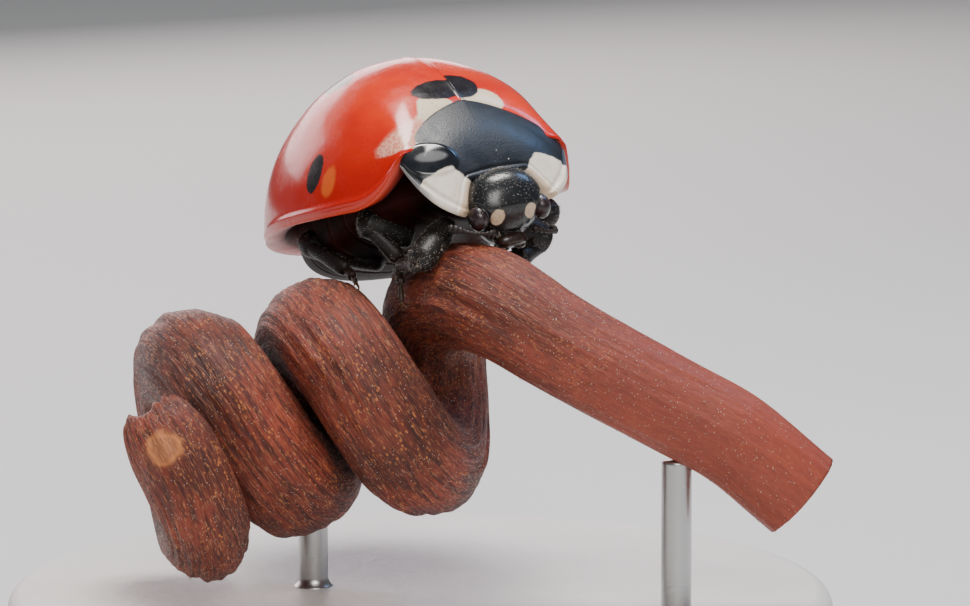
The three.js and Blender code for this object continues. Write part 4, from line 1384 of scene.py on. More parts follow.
# ---------------------------------------------------------------- head
@dataclass
class Head:
    """Head with eyes, lip and jaws, short feelers and mouth palps."""

    skull_material: Material
    eye_material: Material
    limb_material: Material
    centre: Spot = (-0.05, -1.17, -0.31)
    turn: float = -9.3
    roll: float = -4.7
    radii: Spot = (0.82, 0.52, 0.76)
    boxiness: float = 0.9
    taper: float = 0.59
    tuck: float = 0.51
    eye_centre: Spot = (0.68, -0.14, -0.13)
    eye_radii: Spot = (0.2, 0.25, 0.26)
    spot_centre: Pair = (0.36, -0.19)
    spot_radii: Pair = (0.14, 0.145)
    lip_centre: Spot = (0.0, 0.06, -0.67)
    lip_radii: Spot = (0.33, 0.2, 0.15)
    feelers: tuple[tuple[Spot, ...], ...] = (
        ((0.4, -1.36, -0.8), (0.72, -1.46, -0.9), (0.94, -1.34, -0.9), (1.02, -1.1, -0.82)),
        ((-0.52, -1.44, -0.84), (-0.96, -1.5, -0.82), (-1.26, -1.38, -0.72), (-1.42, -1.14, -0.62)),
    )
    feeler_lengths: tuple[float, ...] = (
        0.15, 0.09, 0.1, 0.08, 0.075, 0.075, 0.07, 0.07, 0.09, 0.1, 0.1,
    )
    feeler_sizes: tuple[float, ...] = (
        0.075, 0.055, 0.042, 0.038, 0.036, 0.036, 0.038, 0.045, 0.075, 0.092, 0.085,
    )
    palp_line: tuple[Spot, ...] = (
        (0.2, 0.14, -0.6), (0.34, 0.02, -0.74), (0.4, -0.08, -0.79), (0.43, -0.16, -0.8),
    )

    def placed(self, grid: Array) -> Array:
        """Points round the middle of the skull, rolled, turned and set in place on the beetle."""
        matrix = turned_about("Z", self.turn) @ turned_about("Y", self.roll)
        return grid @ matrix.T + np.array(self.centre)

    def build(self) -> Array:
        """Makes the pieces and returns the skull's grid, for its hairs."""
        skull = self._skull()
        self._lip()
        for side, name in ((1, "left"), (-1, "right")):
            self._eye(side, name)
            self._palp(side, name)
        for line, name in zip(self.feelers, ("left", "right")):
            self._feeler(line, name)
        return skull

    def _skull(self) -> Array:
        """Squared ellipsoid, narrowed by 1 - k d^1.6 and set back by c d^1.4 toward its lower end.

        d is the share of the way down; grooves run round the eyes and above the lip, and the two
        pale spots lie beside the eyes.
        """
        grid = ellipsoid_grid((0, 0, 0), self.radii, 150, 200, self.boxiness)
        facing = -grid[..., 1] / self.radii[1]
        down = np.clip(-grid[..., 2] / self.radii[2], 0, 1)
        grid[..., 0] *= 1 - self.taper * down**1.6
        grid[..., 1] += self.tuck * down**1.4
        folded = np.stack([np.abs(grid[..., 0]), grid[..., 1], grid[..., 2]], -1)
        to_eye = (folded - np.array(self.eye_centre)) / np.array(self.eye_radii)
        to_eye = np.linalg.norm(to_eye, axis=-1)
        front = ease(facing, 0.15, 0.5)
        relief = -0.035 * hump(to_eye, 1.12, 0.12)
        relief = relief - 0.03 * hump(grid[..., 2], -0.52, 0.03) * front
        relief = relief - 0.025 * hump(grid[..., 0], 0, 0.3) * hump(grid[..., 2], 0.0, 0.3) * front
        outer = lifted(grid, relief, (0, 0.1, -0.1))
        outer[0], outer[-1] = grid[0], grid[-1]
        away = np.hypot((folded[..., 0] - self.spot_centre[0]) / self.spot_radii[0],
                        (grid[..., 2] - self.spot_centre[1]) / self.spot_radii[1])
        values = {"spot": np.where(facing > 0.2, (away - 1) * 0.15, 1.0),
                  "mouth": 0.6 * ease(down, 0.72, 0.9) * front}
        outer = self.placed(outer)
        surface = Surface.ball(outer, values)
        surface.build("head", Place.BEETLE, self.skull_material, "black_shell", ["head"])
        return outer

    def _eye(self, side: int, name: str) -> None:
        """Eye of many facets, a plain ellipsoid."""
        centre = (self.eye_centre[0] * side, *self.eye_centre[1:])
        surface = Surface.ball(self.placed(ellipsoid_grid(centre, self.eye_radii, 60, 80)))
        surface.build(f"eye_{name}", Place.BEETLE, self.eye_material, "eye", [f"eye_{name}"])

    def _lip(self) -> None:
        """Upper lip with the tips of the two jaws under it."""
        grid = ellipsoid_grid(self.lip_centre, self.lip_radii, 50, 80, 0.8)
        pieces = [self._plain(Surface.ball, self.placed(grid))]
        t = np.linspace(0, 1, 30)
        radius = closed_off(0.08 * (1 - 0.6 * t), t, 0.1, 0.15)
        for side in (1, -1):
            bend = np.stack([side * (0.27 - 0.22 * t**1.5), 0.16 - 0.12 * np.sin(t * 2.2),
                             -0.7 - 0.12 * np.sin(t * 2.6)], -1)
            pieces.append(self._plain(Surface.tube, self.placed(carried(bend, radius, 20, UP))))
        surface = Surface.joined(pieces)
        surface.build("mouth", Place.BEETLE, self.skull_material, "black_shell", ["labrum"])

    @staticmethod
    def _plain(maker: Callable[..., Surface], grid: Array) -> Surface:
        """Body in the mouth's brown, with no pale spot."""
        full = np.ones(grid.shape[:2])
        return maker(grid, {"mouth": full, "spot": full})

    def _feeler(self, line: Sequence[Sequence[float]], name: str) -> None:
        """Feeler of eleven joints: a stout base, a thin stem and a club of three."""
        path = resampled(smooth_path(line), 200)
        t = np.linspace(0, 1, 200)
        ends = np.cumsum([0, *self.feeler_lengths])
        radius = closed_off(jointed(t, ends, self.feeler_sizes, 0.66, 0.34, 0.5), t, 0.03, 0.05)
        surface = limb(carried(path, radius, 24, UP, 0.8), 0.2 + 0.35 * hump(t, 0.4, 0.3))
        surface.build(f"feeler_{name}", Place.BEETLE, self.limb_material, "limb",
                      [f"antenna_{name}"])

    def _palp(self, side: int, name: str) -> None:
        """Mouth palp whose last joint widens to a cut end like a hatchet."""
        path = self.placed(resampled(smooth_path(self.palp_line), 90) * np.array([side, 1, 1]))
        t = np.linspace(0, 1, 90)
        size = 0.045 + 0.01 * np.sin(t * 18) + 0.06 * ease(t, 0.5, 0.95)
        radius = closed_off(size, t, 0.06, 0.03)
        surface = limb(carried(path, radius, 28, UP, 1 - 0.4 * ease(t, 0.5, 0.9)), 0.35)
        surface.build(f"palp_{name}", Place.BEETLE, self.limb_material, "limb", [f"palp_{name}"])


# ---------------------------------------------------------------- tendril
@dataclass(frozen=True)
class TendrilLine:
    """Middle line of the tendril: broken tip, coil and stem, in the perch's frame."""

    coil_centre: Spot = (-2.04, -0.35, -3.93)
    advance: Pair = (2.5, 0.5)
    ring_tilt: Pair = (-0.31, 0.95)
    ring_height: float = 1.5
    ring_growth: float = 0.11
    ring_depth: float = 1.42
    radii: Pair = (1.09, 1.05)
    turns: Pair = (-1.33, 0.72)
    tip: tuple[Knot, ...] = (
        (-6.32, -2.95, -4.16, 0.8), (-5.9, -3.1, -4.86, 0.82), (-5.52, -3.02, -5.62, 0.83),
        (-5.26, -2.5, -6.33, 0.83), (-5.28, -1.55, -6.67, 0.85), (-5.45, -0.35, -6.58, 0.88),
        (-5.59, 0.6, -5.98, 0.93), (-5.7, 1.15, -4.98, 0.98),
    )
    stem: tuple[Knot, ...] = (
        (-0.16, -1.05, -1.93, 1.03), (0.34, -1.75, -2.04, 1.02), (0.9, -2.1, -2.35, 0.98),
        (1.47, -2.25, -2.72, 0.96), (2.61, -2.3, -3.36, 0.95), (3.98, -2.2, -4.11, 0.94),
        (5.07, -2.1, -4.7, 0.94), (6.45, -1.9, -5.83, 0.94),
    )

    def path(self) -> Array:
        """Points of the line as x, y, z and radius.

        Round the coil, at turn u and angle f = 2 pi (u + 1/4): centre + u advance + h cos(f) tilt,
        and y = y0 - d sin(f).
        """
        u = np.linspace(*self.turns, 16)
        f = 2 * np.pi * (u + 0.25)
        rise = (self.ring_height + self.ring_growth * u) * np.cos(f)
        coil = np.stack([self.coil_centre[0] + self.advance[0] * u + rise * self.ring_tilt[0],
                         self.coil_centre[1] - self.ring_depth * np.sin(f),
                         self.coil_centre[2] + self.advance[1] * u + rise * self.ring_tilt[1],
                         between(*self.radii, np.clip(u / self.turns[1], 0, 1))], -1)
        return smooth_path(np.vstack([self.tip, coil, self.stem]))

    def nearest(self, points: Array) -> tuple[Array, Array]:
        """Place on the line nearest each point, both in the beetle's frame, and its radius."""
        path = self.path()
        line = path[:, :3] @ POSE.beetle_matrix
        away = np.linalg.norm(points[:, None] - line[None], axis=-1) - path[None, :, 3]
        index = np.argmin(away, axis=1)
        return line[index], path[index, 3]

    def kept_off(self, points: Array, clearance: Array | float) -> Array:
        """The points, in the beetle's frame, moved out to a clearance from the tendril's face."""
        centre, radius = self.nearest(points)
        offset = points - centre
        distance = np.linalg.norm(offset, axis=-1)
        return centre + offset * (np.maximum(distance, radius + clearance) / distance)[:, None]


LINE = TendrilLine()


@dataclass
class Tendril:
    """The cut length of dry tendril, as one piece: ridged bark, hollow broken tip and cut end."""

    material: Material
    rows: int = 670
    columns: int = 144
    cavity_depth: float = 0.9
    cavity_rows: int = 24
    ridge_heights: Spot = (0.022, 0.011, 0.0055)
    scar_centre: Spot = (-6.0, -3.75, -4.85)
    scar_halves: Spot = (0.42, 0.5, 0.4)

    def build(self) -> Array:
        """Makes the tendril and returns its grid, for its fine fibres."""
        path = resampled(LINE.path(), self.rows)
        length = lengths_along(path)
        angle = circle(self.columns)
        along, around = mesh_grid(length, angle)
        relief = self._relief(around, along)
        taper = 0.62 + 0.38 * np.sqrt(np.clip(1 - (1 - np.clip(length / 1.1, 0, 1)) ** 2, 0, 1))
        radii = path[:, 3, None] * taper[:, None] + relief
        outer = carried(path[:, :3], radii, self.columns, UP)
        outer = self._broken(outer, path, around, along)
        cavity = self._cavity(outer, path)
        grid = np.concatenate([cavity, outer])
        inside = len(cavity)
        depth = np.linspace(-self.cavity_depth, 0, inside)[:, None] + 0 * around[:inside]
        full_along = np.concatenate([depth, along])
        full_around = np.concatenate([around[:inside], around])
        size = np.concatenate([np.full(inside, 0.5), path[:, 3]])[:, None]
        grain = np.stack([np.cos(full_around) * size, np.sin(full_around) * size, full_along], -1)
        offset = grid - np.array(self.scar_centre)
        scar = np.linalg.norm(offset / np.array(self.scar_halves), axis=-1)
        ragged = 0.05 * np.sin(offset[..., 0] * 13 + 2 * np.sin(offset[..., 2] * 9))
        ragged += 0.04 * np.sin(offset[..., 2] * 29)
        wood = 0.8 * (1 - ease(scar + ragged, 0.3, 1.15))
        wood = np.maximum(wood, 0.35 * (full_along < 0))
        smooth = ease(full_along, length[-1] - 9, length[-1] - 3)
        surface = Surface.tube(grid, {"grain": grain, "wood": wood, "smooth": smooth})
        coils = [f"perch_coil_{n}" for n in range(1, 5)]
        surface.build("tendril", Place.PERCH, self.material, "bark",
                      ["perch_tip_end", "perch_tip_bend", *coils, "perch_stem"])
        return outer

    def _relief(self, around: Array, along: Array) -> Array:
        """Lengthwise ridges in three sizes, weaker toward the stem's cut end."""
        broad = ripples(around, along, 14, (2, 6), (0.05, 0.7), 11) * self.ridge_heights[0]
        ridges = ripples(around, along, 40, (8, 22), (0.1, 1.4), 12) * self.ridge_heights[1]
        fine = ripples(around, along, 60, (24, 48), (0.3, 4.0), 13) * self.ridge_heights[2]
        fade = 1 - 0.45 * ease(along, along.max() - 10, along.max() - 2)
        return (broad + ridges + fine) * fade

    def _broken(self, outer: Array, path: Array, around: Array, along: Array) -> Array:
        """The tip's rim pulled in and out along the line to a ragged edge, fading in 0.8 mm."""
        ahead = unit(path[0, :3] - path[3, :3])
        jag = 0.10 * ripples(around[:1], along[:1], 18, (2, 14), (0, 0.1), 21)
        fade = np.clip(1 - along / 0.8, 0, 1) ** 2
        return outer + (fade * jag)[..., None] * ahead

    def _cavity(self, outer: Array, path: Array) -> Array:
        """Hollow of the tip: its rim scaled by 0.86 - 0.5 d^2, d from 0 at the rim to 1 inside."""
        deep = np.linspace(1, 0, self.cavity_rows + 1)[:-1, None, None]
        middle = outer[0].mean(0)
        inward = unit(path[6, :3] - path[0, :3])
        share = 0.86 - 0.5 * deep**2
        return middle + (outer[0] - middle) * share + inward * self.cavity_depth * deep**0.8


# ---------------------------------------------------------------- trunk
@dataclass
class Trunk:
    """Underside: thorax and the ringed belly, under the wing cases."""

    material: Material
    front: float = -0.6
    waist: float = 1.72
    rear: float = 5.01
    inset: float = 0.7
    keel: float = -0.5
    belly: float = -1.16
    belly_at: float = 3.5
    neck_narrowing: float = 0.32
    neck_lowering: float = 0.75
    roof_share: float = 0.94
    side_share: float = 0.6
    grooves: tuple[float, ...] = (2.25, 2.8, 3.35, 3.9, 4.45)
    columns: int = 150

    def rings(self, y: Array) -> Array:
        """Cross-sections at y: flat sides and a keel below, a low arch above."""
        length = DOME.length - self.inset
        width, height = DOME.widths(np.maximum(y, 0), self.inset)
        neck = 1 - self.neck_narrowing * ease(-y, 0, -self.front)
        lowered = np.where(y < 0, neck * (1 + y * self.neck_lowering), 1.0)
        closing = np.sqrt(1 - np.clip((y - self.belly_at) / (length - self.belly_at), 0, 1) ** 3)
        floor = between(self.keel, self.belly, ease(y, 0, self.belly_at)) * closing
        side = DOME.margin(np.maximum(y, 0.35)) * self.side_share
        top = side + (height - side) * lowered * self.roof_share
        keel_power = 1.5 - 0.9 * ease(y, 0.5, 2.6)
        flank_power = 1 - 0.25 * ease(y, 1, 3)
        rows, angle = mesh_grid(np.arange(len(y)), circle(self.columns))
        above = np.cos(angle) > 0
        rise = np.where(above, (top - side)[rows], (side - floor)[rows])
        flank_power = np.where(above, 1.0, flank_power[rows])
        x = (width * neck)[rows] * signed_power(np.sin(angle), flank_power)
        z = side[rows] + rise * signed_power(np.cos(angle), np.where(above, 1.0, keel_power[rows]))
        return np.stack([x, y[rows], z], -1)

    def build(self) -> None:
        """Makes the thorax and the belly."""
        self._length("thorax", self.front, self.waist, 90)
        self._length("abdomen", self.waist, self.rear, 150)

    def _length(self, name: str, start: float, end: float, rows: int) -> None:
        """One length of the trunk, with a groove wherever two plates meet."""
        grid = self.rings(between(start, end, rounded_run(rows)))
        marks, y = (*self.grooves, self.waist), grid[..., 1]
        bend = 0.08 * np.cos(grid[..., 0])
        groove = np.max([hump(y, mark + bend, 0.03) for mark in marks], axis=0)
        sag = np.max([ease(y, mark - 0.45, mark) * (y < mark) for mark in marks], axis=0)
        low = ease(-grid[..., 2], -0.3, 0.3)
        outer = lifted(grid, (-0.05 * groove + 0.012 * sag) * low, (0, 1.7, 0.3))
        outer[0], outer[-1] = grid[0], grid[-1]
        surface = Surface.tube(outer, {"groove": groove * low})
        surface.build(name, Place.BEETLE, self.material, "belly", [name])


# ---------------------------------------------------------------- legs
@dataclass
class Leg:
    """One leg: flattened thigh, shin that widens to its end, and jointed foot with two claws."""

    name: str
    joints: tuple[Spot, ...]
    material: Material

    def build(self) -> dict[str, Array]:
        """Makes the three pieces and returns the grids of thigh, shin and foot, for their hairs."""
        hip, knee, ankle, toe = (np.array(joint) for joint in self.joints)
        landing = LINE.kept_off(toe[None], 0.04)[0]
        return {"femur": self._thigh(hip, knee, ankle), "tibia": self._shin(knee, ankle),
                "tarsus": self._foot(ankle, landing)}

    def _piece(self, part: str, surfaces: Sequence[Surface]) -> None:
        """One named piece of the leg in place of its solid."""
        Surface.joined(surfaces).build(f"{self.name}_{part}", Place.BEETLE, self.material, "limb",
                                       [f"leg_{self.name}_{part}"])

    def _thigh(self, hip: Array, knee: Array, ankle: Array) -> Array:
        """Spindle from hip to knee, flatter across the plane in which the leg bends."""
        t = rounded_run(90)
        path = LINE.kept_off(between(hip, knee, t[:, None]), 0.24)
        size = np.interp(t, [0, 0.25, 0.6, 0.9, 1], [0.22, 0.3, 0.34, 0.32, 0.27])
        radius = closed_off(size, t, 0.08, 0.16)
        rings = carried(path, radius, 56, ankle - knee, 0.86)
        self._piece("femur", [limb(rings, 0.0)])
        return rings

    def _shin(self, knee: Array, ankle: Array) -> Array:
        """Shin that widens toward its end, bowed outward by 0.05 of its length."""
        t = rounded_run(90)
        start = between(knee, ankle, 0.06)
        outward = unit(np.cross(ankle - knee, np.array([0.3, 0.2, 1.0])))
        bow = 0.05 * np.linalg.norm(ankle - knee) * np.sin(np.pi * t)
        path = LINE.kept_off(between(start, ankle, t[:, None]) + outward * bow[:, None], 0.15)
        size = np.interp(t, [0, 0.12, 0.5, 0.85, 1], [0.12, 0.135, 0.15, 0.175, 0.16])
        radius = closed_off(size, t, 0.1, 0.1)
        rings = carried(path, radius, 48, UP, 0.82)
        self._piece("tibia", [limb(rings, 0.35 * ease(t, 0.55, 1.0))])
        return rings

    def _foot(self, ankle: Array, landing: Array) -> Array:
        """Foot of three joints, the first two with broad pads, then two hooked claws."""
        t = np.linspace(0, 1, 120)
        path = LINE.kept_off(between(ankle, landing, t[:, None]), 0.075)
        ends, sizes = np.array([0, 0.27, 0.5, 1.0]), (0.105, 0.115, 0.062)
        radius = closed_off(jointed(t, ends, sizes, 0.58, 0.42, 0.6), t, 0.04, 0.05)
        rings = carried(path, radius, 36, UP, 0.85)
        claws = [self._claw(path, side) for side in (1, -1)]
        self._piece("tarsus", [limb(rings, 0.55 + 0.45 * t), *claws])
        return rings

    def _claw(self, path: Array, side: int) -> Surface:
        """Hooked claw: leaves the foot's end, bows outward and turns down onto the tendril."""
        tip = path[-1]
        ahead = unit(path[-1] - path[-12])
        centre, _ = LINE.nearest(tip[None])
        down = unit(centre[0] - tip)
        out = unit(np.cross(ahead, down)) * side
        t = np.linspace(0, 1, 36)[:, None]
        curve = tip + ahead * 0.13 * np.sin(t * 1.9) + out * 0.07 * np.sin(t * 2.4)
        curve = curve + down * 0.1 * t**2
        radius = closed_off(0.03 * (1 - 0.85 * t[:, 0]), t[:, 0], 0.1, 0.02)
        return limb(carried(curve, radius, 14, down), 1.0, 0.9)


# ---------------------------------------------------------------- hair
@dataclass
class Coat:
    """Hairs gathered into one coat piece, each a thin bent cone with its own patch of the map."""

    name: str
    material: Material
    slot: str
    seed: int
    strips: int = 1
    patch_side: float = 0.003
    grown: list[tuple[Array, ...]] = field(default_factory=list)

    def __post_init__(self) -> None:
        """Seeds the random draws."""
        self.rng = np.random.default_rng(self.seed)

    def grow(self, grid: Array, count: int, length: Pair, radius: float, strip: int,
             weight: Array | None = None, lift: float = 0.5, sweep: Array | None = None,
             spread: float = 0.25) -> None:
        """Adds hairs over a grid of points.

        Args:
            grid: the surface's points, rings first.
            count: how many hairs.
            length: least and most length, in millimetres.
            radius: radius at the root, in millimetres.
            strip: which strip of the coat's map is this surface's own unwrap.
            weight: relative chance at each grid point.
            lift: how far hairs stand up, from 0, lying, to 1.
            sweep: direction that they lie toward; along the rings by default.
            spread: size of the random turn.
        """
        rows, columns = grid.shape[:2]
        normals = grid_normals(grid)
        outward = np.einsum("ijk,ijk->ij", normals, grid - grid.mean((0, 1)))
        normals = normals * np.sign(outward.sum())
        chance = np.ones((rows, columns)) if weight is None else weight.astype(float)
        chance = (chance * np.linalg.norm(np.gradient(grid, axis=0), axis=-1)).ravel()
        pick = self.rng.choice(rows * columns, count, p=chance / chance.sum())
        i, j = pick // columns, pick % columns
        along = unit(np.gradient(grid, axis=0))[i, j]
        if sweep is not None:
            along = np.broadcast_to(unit(sweep), (count, 3))
        jitter = self.rng.normal(0, spread, (count, 3))
        normal = normals[i, j]
        flat = along - normal * np.einsum("ij,ij->i", along, normal)[:, None]
        root = grid[i, j] - normal * 0.01
        lean = unit(normal * lift + flat * (1 - lift) + jitter)
        tip = unit(normal * lift * 0.45 + flat + jitter)
        size = np.stack([self.rng.uniform(*length, count), np.full(count, radius)], -1)
        chart = np.stack([(strip + (j + 0.5) / columns) / self.strips, (i + 0.5) / rows], -1)
        self.grown.append((root, lean, tip, size, chart))

    def build(self, place: Place) -> Object:
        """Makes the coat piece: seven points to a hair, mapped by each root's place on the skin."""
        root, lean, tip, size, chart = (np.concatenate(part) for part in zip(*self.grown))
        length, radius = size[:, :1], size[:, 1:]
        side = unit(np.cross(lean, np.array([0.31, 0.52, 0.79])))
        across = np.cross(lean, side)
        turn = np.arange(3) * 2 * np.pi / 3
        star = np.cos(turn)[:, None] * side[:, None] + np.sin(turn)[:, None] * across[:, None]
        star = star * radius[:, None]
        middle = root + lean * length * 0.5
        points = np.concatenate([root[:, None] + star, middle[:, None] + star * 0.7,
                                 (middle + tip * length * 0.5)[:, None]], axis=1)
        start = np.arange(len(root))[:, None, None] * 7
        k = np.arange(3)
        quads = np.stack([k, (k + 1) % 3, (k + 1) % 3 + 3, k + 3], -1)[None] + start
        fans = np.stack([k + 3, (k + 1) % 3 + 3, np.full(3, 6)], -1)[None] + start
        foot = np.array([[2, 1, 0]])[None] + start
        corners = np.array([[0, 0], [1, 0], [0, 1], [0.2, 0.5], [0.8, 0.5], [0.5, 0.9], [0.5, 0.5]])
        patch = chart[:, None] + corners[None] * self.patch_side - self.patch_side / 2
        patch = np.clip(patch, 0.001, 0.999).reshape(-1, 2)
        faces = [quads.reshape(-1, 4), fans.reshape(-1, 3), foot.reshape(-1, 3)]
        surface = Surface(points.reshape(-1, 3), faces, {"patch_uv": patch})
        return surface.build(self.name, place, self.material, self.slot)


# ---------------------------------------------------------------- stand
@dataclass
class Stand:
    """Round base and two rods that carry the tendril."""

    base_material: Material
    rod_material: Material
    radius: float = 8.3
    thickness: float = 1.4
    bevel: float = 0.35
    rod_radius: float = 0.3
    rods: tuple[tuple[str, Pair, float], ...] = (
        ("coil", (-1.755, 1.27), 3.35),
        ("stem", (2.825, -5.04), 4.5),
    )

    def build(self) -> None:
        """Makes the base and the rods."""
        self._base()
        for name, spot, top in self.rods:
            self._rod(name, spot, top)

    @staticmethod
    def _lathe(profile: Array, centre: Pair, columns: int) -> Surface:
        """Closed body turned about Z from a profile of radius and height."""
        angle = circle(columns)
        x = centre[0] + profile[:, :1] * np.cos(angle)
        y = centre[1] + profile[:, :1] * np.sin(angle)
        return Surface.tube(np.stack([x, y, np.broadcast_to(profile[:, 1:], x.shape)], -1))

    def _base(self) -> None:
        """Flat base whose upper edge is a quarter circle and whose foot is eased a little."""
        turn = np.linspace(0, np.pi / 2, 16)
        ease_radius = 0.1
        floor = np.stack([np.linspace(0.2, self.radius - ease_radius, 24), np.zeros(24)], -1)
        foot = np.stack([self.radius - ease_radius + ease_radius * np.sin(turn),
                         ease_radius * (1 - np.cos(turn))], -1)
        lip = np.stack([self.radius - self.bevel * (1 - np.cos(turn)),
                        self.thickness - self.bevel * (1 - np.sin(turn))], -1)
        top = np.linspace(self.radius - self.bevel, 0.2, 40)[1:]
        top = np.stack([top, np.full_like(top, self.thickness)], -1)
        surface = self._lathe(np.concatenate([floor, foot[1:], lip, top]), (0.0, 0.0), 256)
        surface.build("stand_base", Place.WORLD, self.base_material, "stand", ["stand_base"])

    def _rod(self, name: str, spot: Pair, top: float) -> None:
        """Upright rod with a small fillet where it leaves the base."""
        z = np.concatenate([np.linspace(1.36, 1.62, 14), np.linspace(1.7, top, 40)])
        fillet = 0.1 * np.clip(1 - (z - self.thickness) / 0.2, 0, 1) ** 2
        surface = self._lathe(np.stack([self.rod_radius + fillet, z], -1), spot, 64)
        name = f"stand_rod_{name}"
        surface.build(name, Place.WORLD, self.rod_material, "rod", [name])


# ---------------------------------------------------------------- studio
def aimed(name: str, data: bpy.types.ID, spot: Spot, aim: Spot) -> Object:
    """New lamp or camera at one spot of the perch's frame, facing another."""
    thing = bpy.data.objects.new(name, data)
    thing.location = Vector(POSE.from_perch(np.array(spot)) * MM)
    target = Vector(POSE.from_perch(np.array(aim)) * MM)
    thing.rotation_euler = (target - thing.location).to_track_quat("-Z", "Y").to_euler()
    bpy.context.scene.collection.objects.link(thing)
    return thing


@dataclass(frozen=True)
class Lamp:
    """Soft area lamp: its place and what it faces in the perch's frame, its size and power."""

    name: str
    spot: Spot
    size: Pair
    power: float
    colour: Spot = (1.0, 1.0, 1.0)
    aim: Spot = (0.0, 0.0, -2.0)

    def build(self) -> None:
        """Adds the lamp."""
        data = bpy.data.lights.new(self.name, "AREA")
        data.shape = "RECTANGLE"
        data.size, data.size_y = self.size[0] * MM, self.size[1] * MM
        data.energy = self.power
        data.color = self.colour
        lamp = aimed(self.name, data, self.spot, self.aim)


@dataclass
class Studio:
    """Pale floor, pale surroundings, soft lamps and the camera."""

    floor_side: float = 6.0
    surroundings: Colour = (0.93, 0.95, 1.0, 1)
    strength: float = 0.15
    sensor: float = 36.0
    distance: float = 130.0
    aim: Spot = (0.22, 0.0, -2.085)
    lens: float = 241.8
    lamps: tuple[Lamp, ...] = (
        Lamp("overhead", (6.0, -6.0, 85.0), (34.0, 34.0), 0.1, (1.0, 0.97, 0.93)),
        Lamp("rear_panel", (-45.0, 80.0, 38.0), (130.0, 34.0), 0.062, (1.0, 0.84, 0.85)),
        Lamp("sky", (48.0, 22.0, 66.0), (24.0, 24.0), 0.016, (0.3, 0.55, 1.0)),
        Lamp("front", (20.0, -90.0, 40.0), (50.0, 40.0), 0.05, (1.0, 0.96, 0.92)),
    )

    def build(self) -> None:
        """Sets up everything around the model."""
        self._floor()
        self._world()
        for lamp in self.lamps:
            lamp.build()
        self._camera()

    def _floor(self) -> None:
        """Large pale floor with a faint drift of tone."""
        half = self.floor_side / 2
        corners = [(-half, -half, 0), (half, -half, 0), (half, half, 0), (-half, half, 0)]
        mesh = bpy.data.meshes.new("floor")
        mesh.from_pydata(corners, [], [(0, 1, 2, 3)])
        floor = bpy.data.objects.new("floor", mesh)
        bpy.context.scene.collection.objects.link(floor)
        material = bpy.data.materials.new("floor_pale")
        material.use_nodes = True
        material.node_tree.nodes.clear()
        board = Board(material.node_tree)
        cloud = board.effect(Effect.CLOUD, board.place_mm(), 0.02, tone=(0.75, 0.75, 0.74, 1),
                             other=(0.72, 0.72, 0.71, 1), low=0.3, high=0.7)
        board.show({"Base Color": cloud, "Roughness": 0.7})
        mesh.materials.append(material)

    def _world(self) -> None:
        """Pale, even surroundings."""
        world = bpy.data.worlds.new("surroundings")
        world.use_nodes = True
        background = world.node_tree.nodes["Background"]
        background.inputs["Color"].default_value = self.surroundings
        background.inputs["Strength"].default_value = self.strength
        bpy.context.scene.world = world

    def _camera(self) -> None:
        """Camera looking down eight degrees, without roll."""
        data = bpy.data.cameras.new("camera")
        data.lens = self.lens
        data.sensor_width = self.sensor
        data.clip_start = 0.001
        data.clip_end = 20.0
        spot = (0.0, -self.distance, 0.0)
        bpy.context.scene.camera = aimed("camera", data, spot, self.aim)


# ---------------------------------------------------------------- whole model
LEG_JOINTS: dict[str, tuple[Spot, ...]] = {
    "front_right": (
        (-0.95, -0.42, -0.46), (-2.05, -0.82, -1.27), (-1.9, 0.1, -1.2), (-2.04, -0.04, -1.92),
    ),
    "front_left": (
        (0.62, -0.34, -0.6), (1.45, -0.22, -1.03), (0.56, -0.56, -1.34), (0.22, -1.2, -1.46),
    ),
    "middle_right": (
        (-0.95, 0.96, -0.6), (-2.05, 1.16, -0.1), (-1.42, 0.8, -1.02), (-1.2, 1.42, -1.26),
    ),
    "middle_left": (
        (0.95, 0.96, -0.62), (2.07, 0.14, -0.33), (0.98, 0.34, -1.16), (0.5, 0.5, -1.42),
    ),
    "hind_right": (
        (-0.9, 2.2, -0.95), (-2.3, 3.15, -0.24), (-1.84, 2.12, -1.04), (-2.05, 1.55, -1.34),
    ),
    "hind_left": (
        (0.9, 2.2, -0.95), (2.28, 3.12, -0.22), (1.28, 1.95, -1.48), (0.5, 1.55, -1.62),
    ),
}

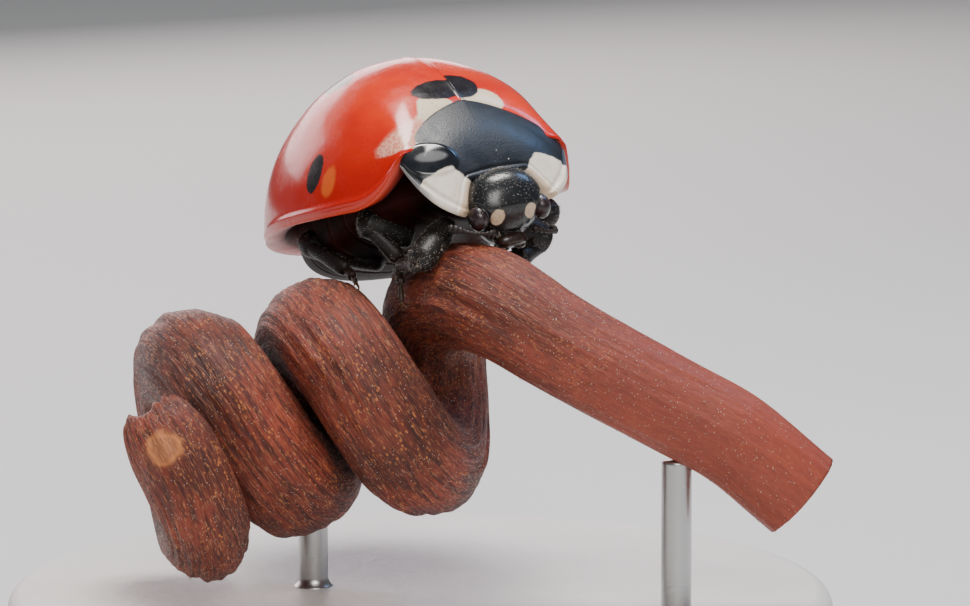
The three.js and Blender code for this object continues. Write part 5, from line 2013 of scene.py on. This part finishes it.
LEG_HAIRS: tuple[tuple[str, int, Pair], ...] = (
    ("femur", 900, (0.05, 0.09)), ("tibia", 300, (0.05, 0.09)), ("tarsus", 160, (0.04, 0.07)),
)


def build_beetle() -> None:
    """The beetle: shell, head, trunk, legs and hairs."""
    limb, shield = LimbFinish().material(), NeckShieldFinish().material()
    for side in (1, -1):
        WingCase(side, WingCaseFinish().material()).build()
    Scutellum(shield).build()
    NeckShield(shield).build()
    skull = Head(HeadFinish().material(), EyeFinish().material(), limb).build()
    Trunk(BellyFinish().material()).build()
    legs = {name: Leg(name, joints, limb).build() for name, joints in LEG_JOINTS.items()}
    hair = HairFinish().material()
    face = Coat("head_hairs", hair, "black_shell", 31)
    front = ease(-skull[..., 1], 0.9, 1.3)
    crown = front * (0.2 + ease(skull[..., 2], -0.35, 0.1))
    face.grow(skull, 900, (0.04, 0.075), 0.0034, 0, crown, 0.35, np.array([0.0, -0.3, -1.0]))
    fringe = front * hump(skull[..., 2], -0.9, 0.06)
    face.grow(skull, 70, (0.13, 0.19), 0.006, 0, fringe, 0.35, np.array([0.0, 0.0, -1.0]), 0.1)
    face.build(Place.BEETLE)
    parts = [(name, *part) for name in legs for part in LEG_HAIRS]
    fur = Coat("leg_hairs", hair, "limb", 32, strips=len(parts))
    for strip, (name, part, count, lengths) in enumerate(parts):
        near = 1.0 if name == "front_right" else 0.55
        fur.grow(legs[name][part], int(count * near), lengths, 0.0046, strip, lift=0.3)
    fur.build(Place.BEETLE)


def build_perch() -> None:
    """The tendril, its fine fibres and the stand."""
    bark = Tendril(BarkFinish().material()).build()
    fuzz = Coat("tendril_fibres", HairFinish().material(), "bark", 33)
    fuzz.grow(bark, 2600, (0.04, 0.12), 0.0055, 0, lift=0.25, spread=0.35)
    fuzz.build(Place.PERCH)
    Stand(PlinthFinish().material(), RodFinish().material()).build()


def main() -> None:
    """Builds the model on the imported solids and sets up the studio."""
    logging.basicConfig(level=logging.INFO, format="%(name)s: %(message)s")
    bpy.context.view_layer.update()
    build_beetle()
    build_perch()
    Studio().build()


if __name__ == "__main__":
    main()
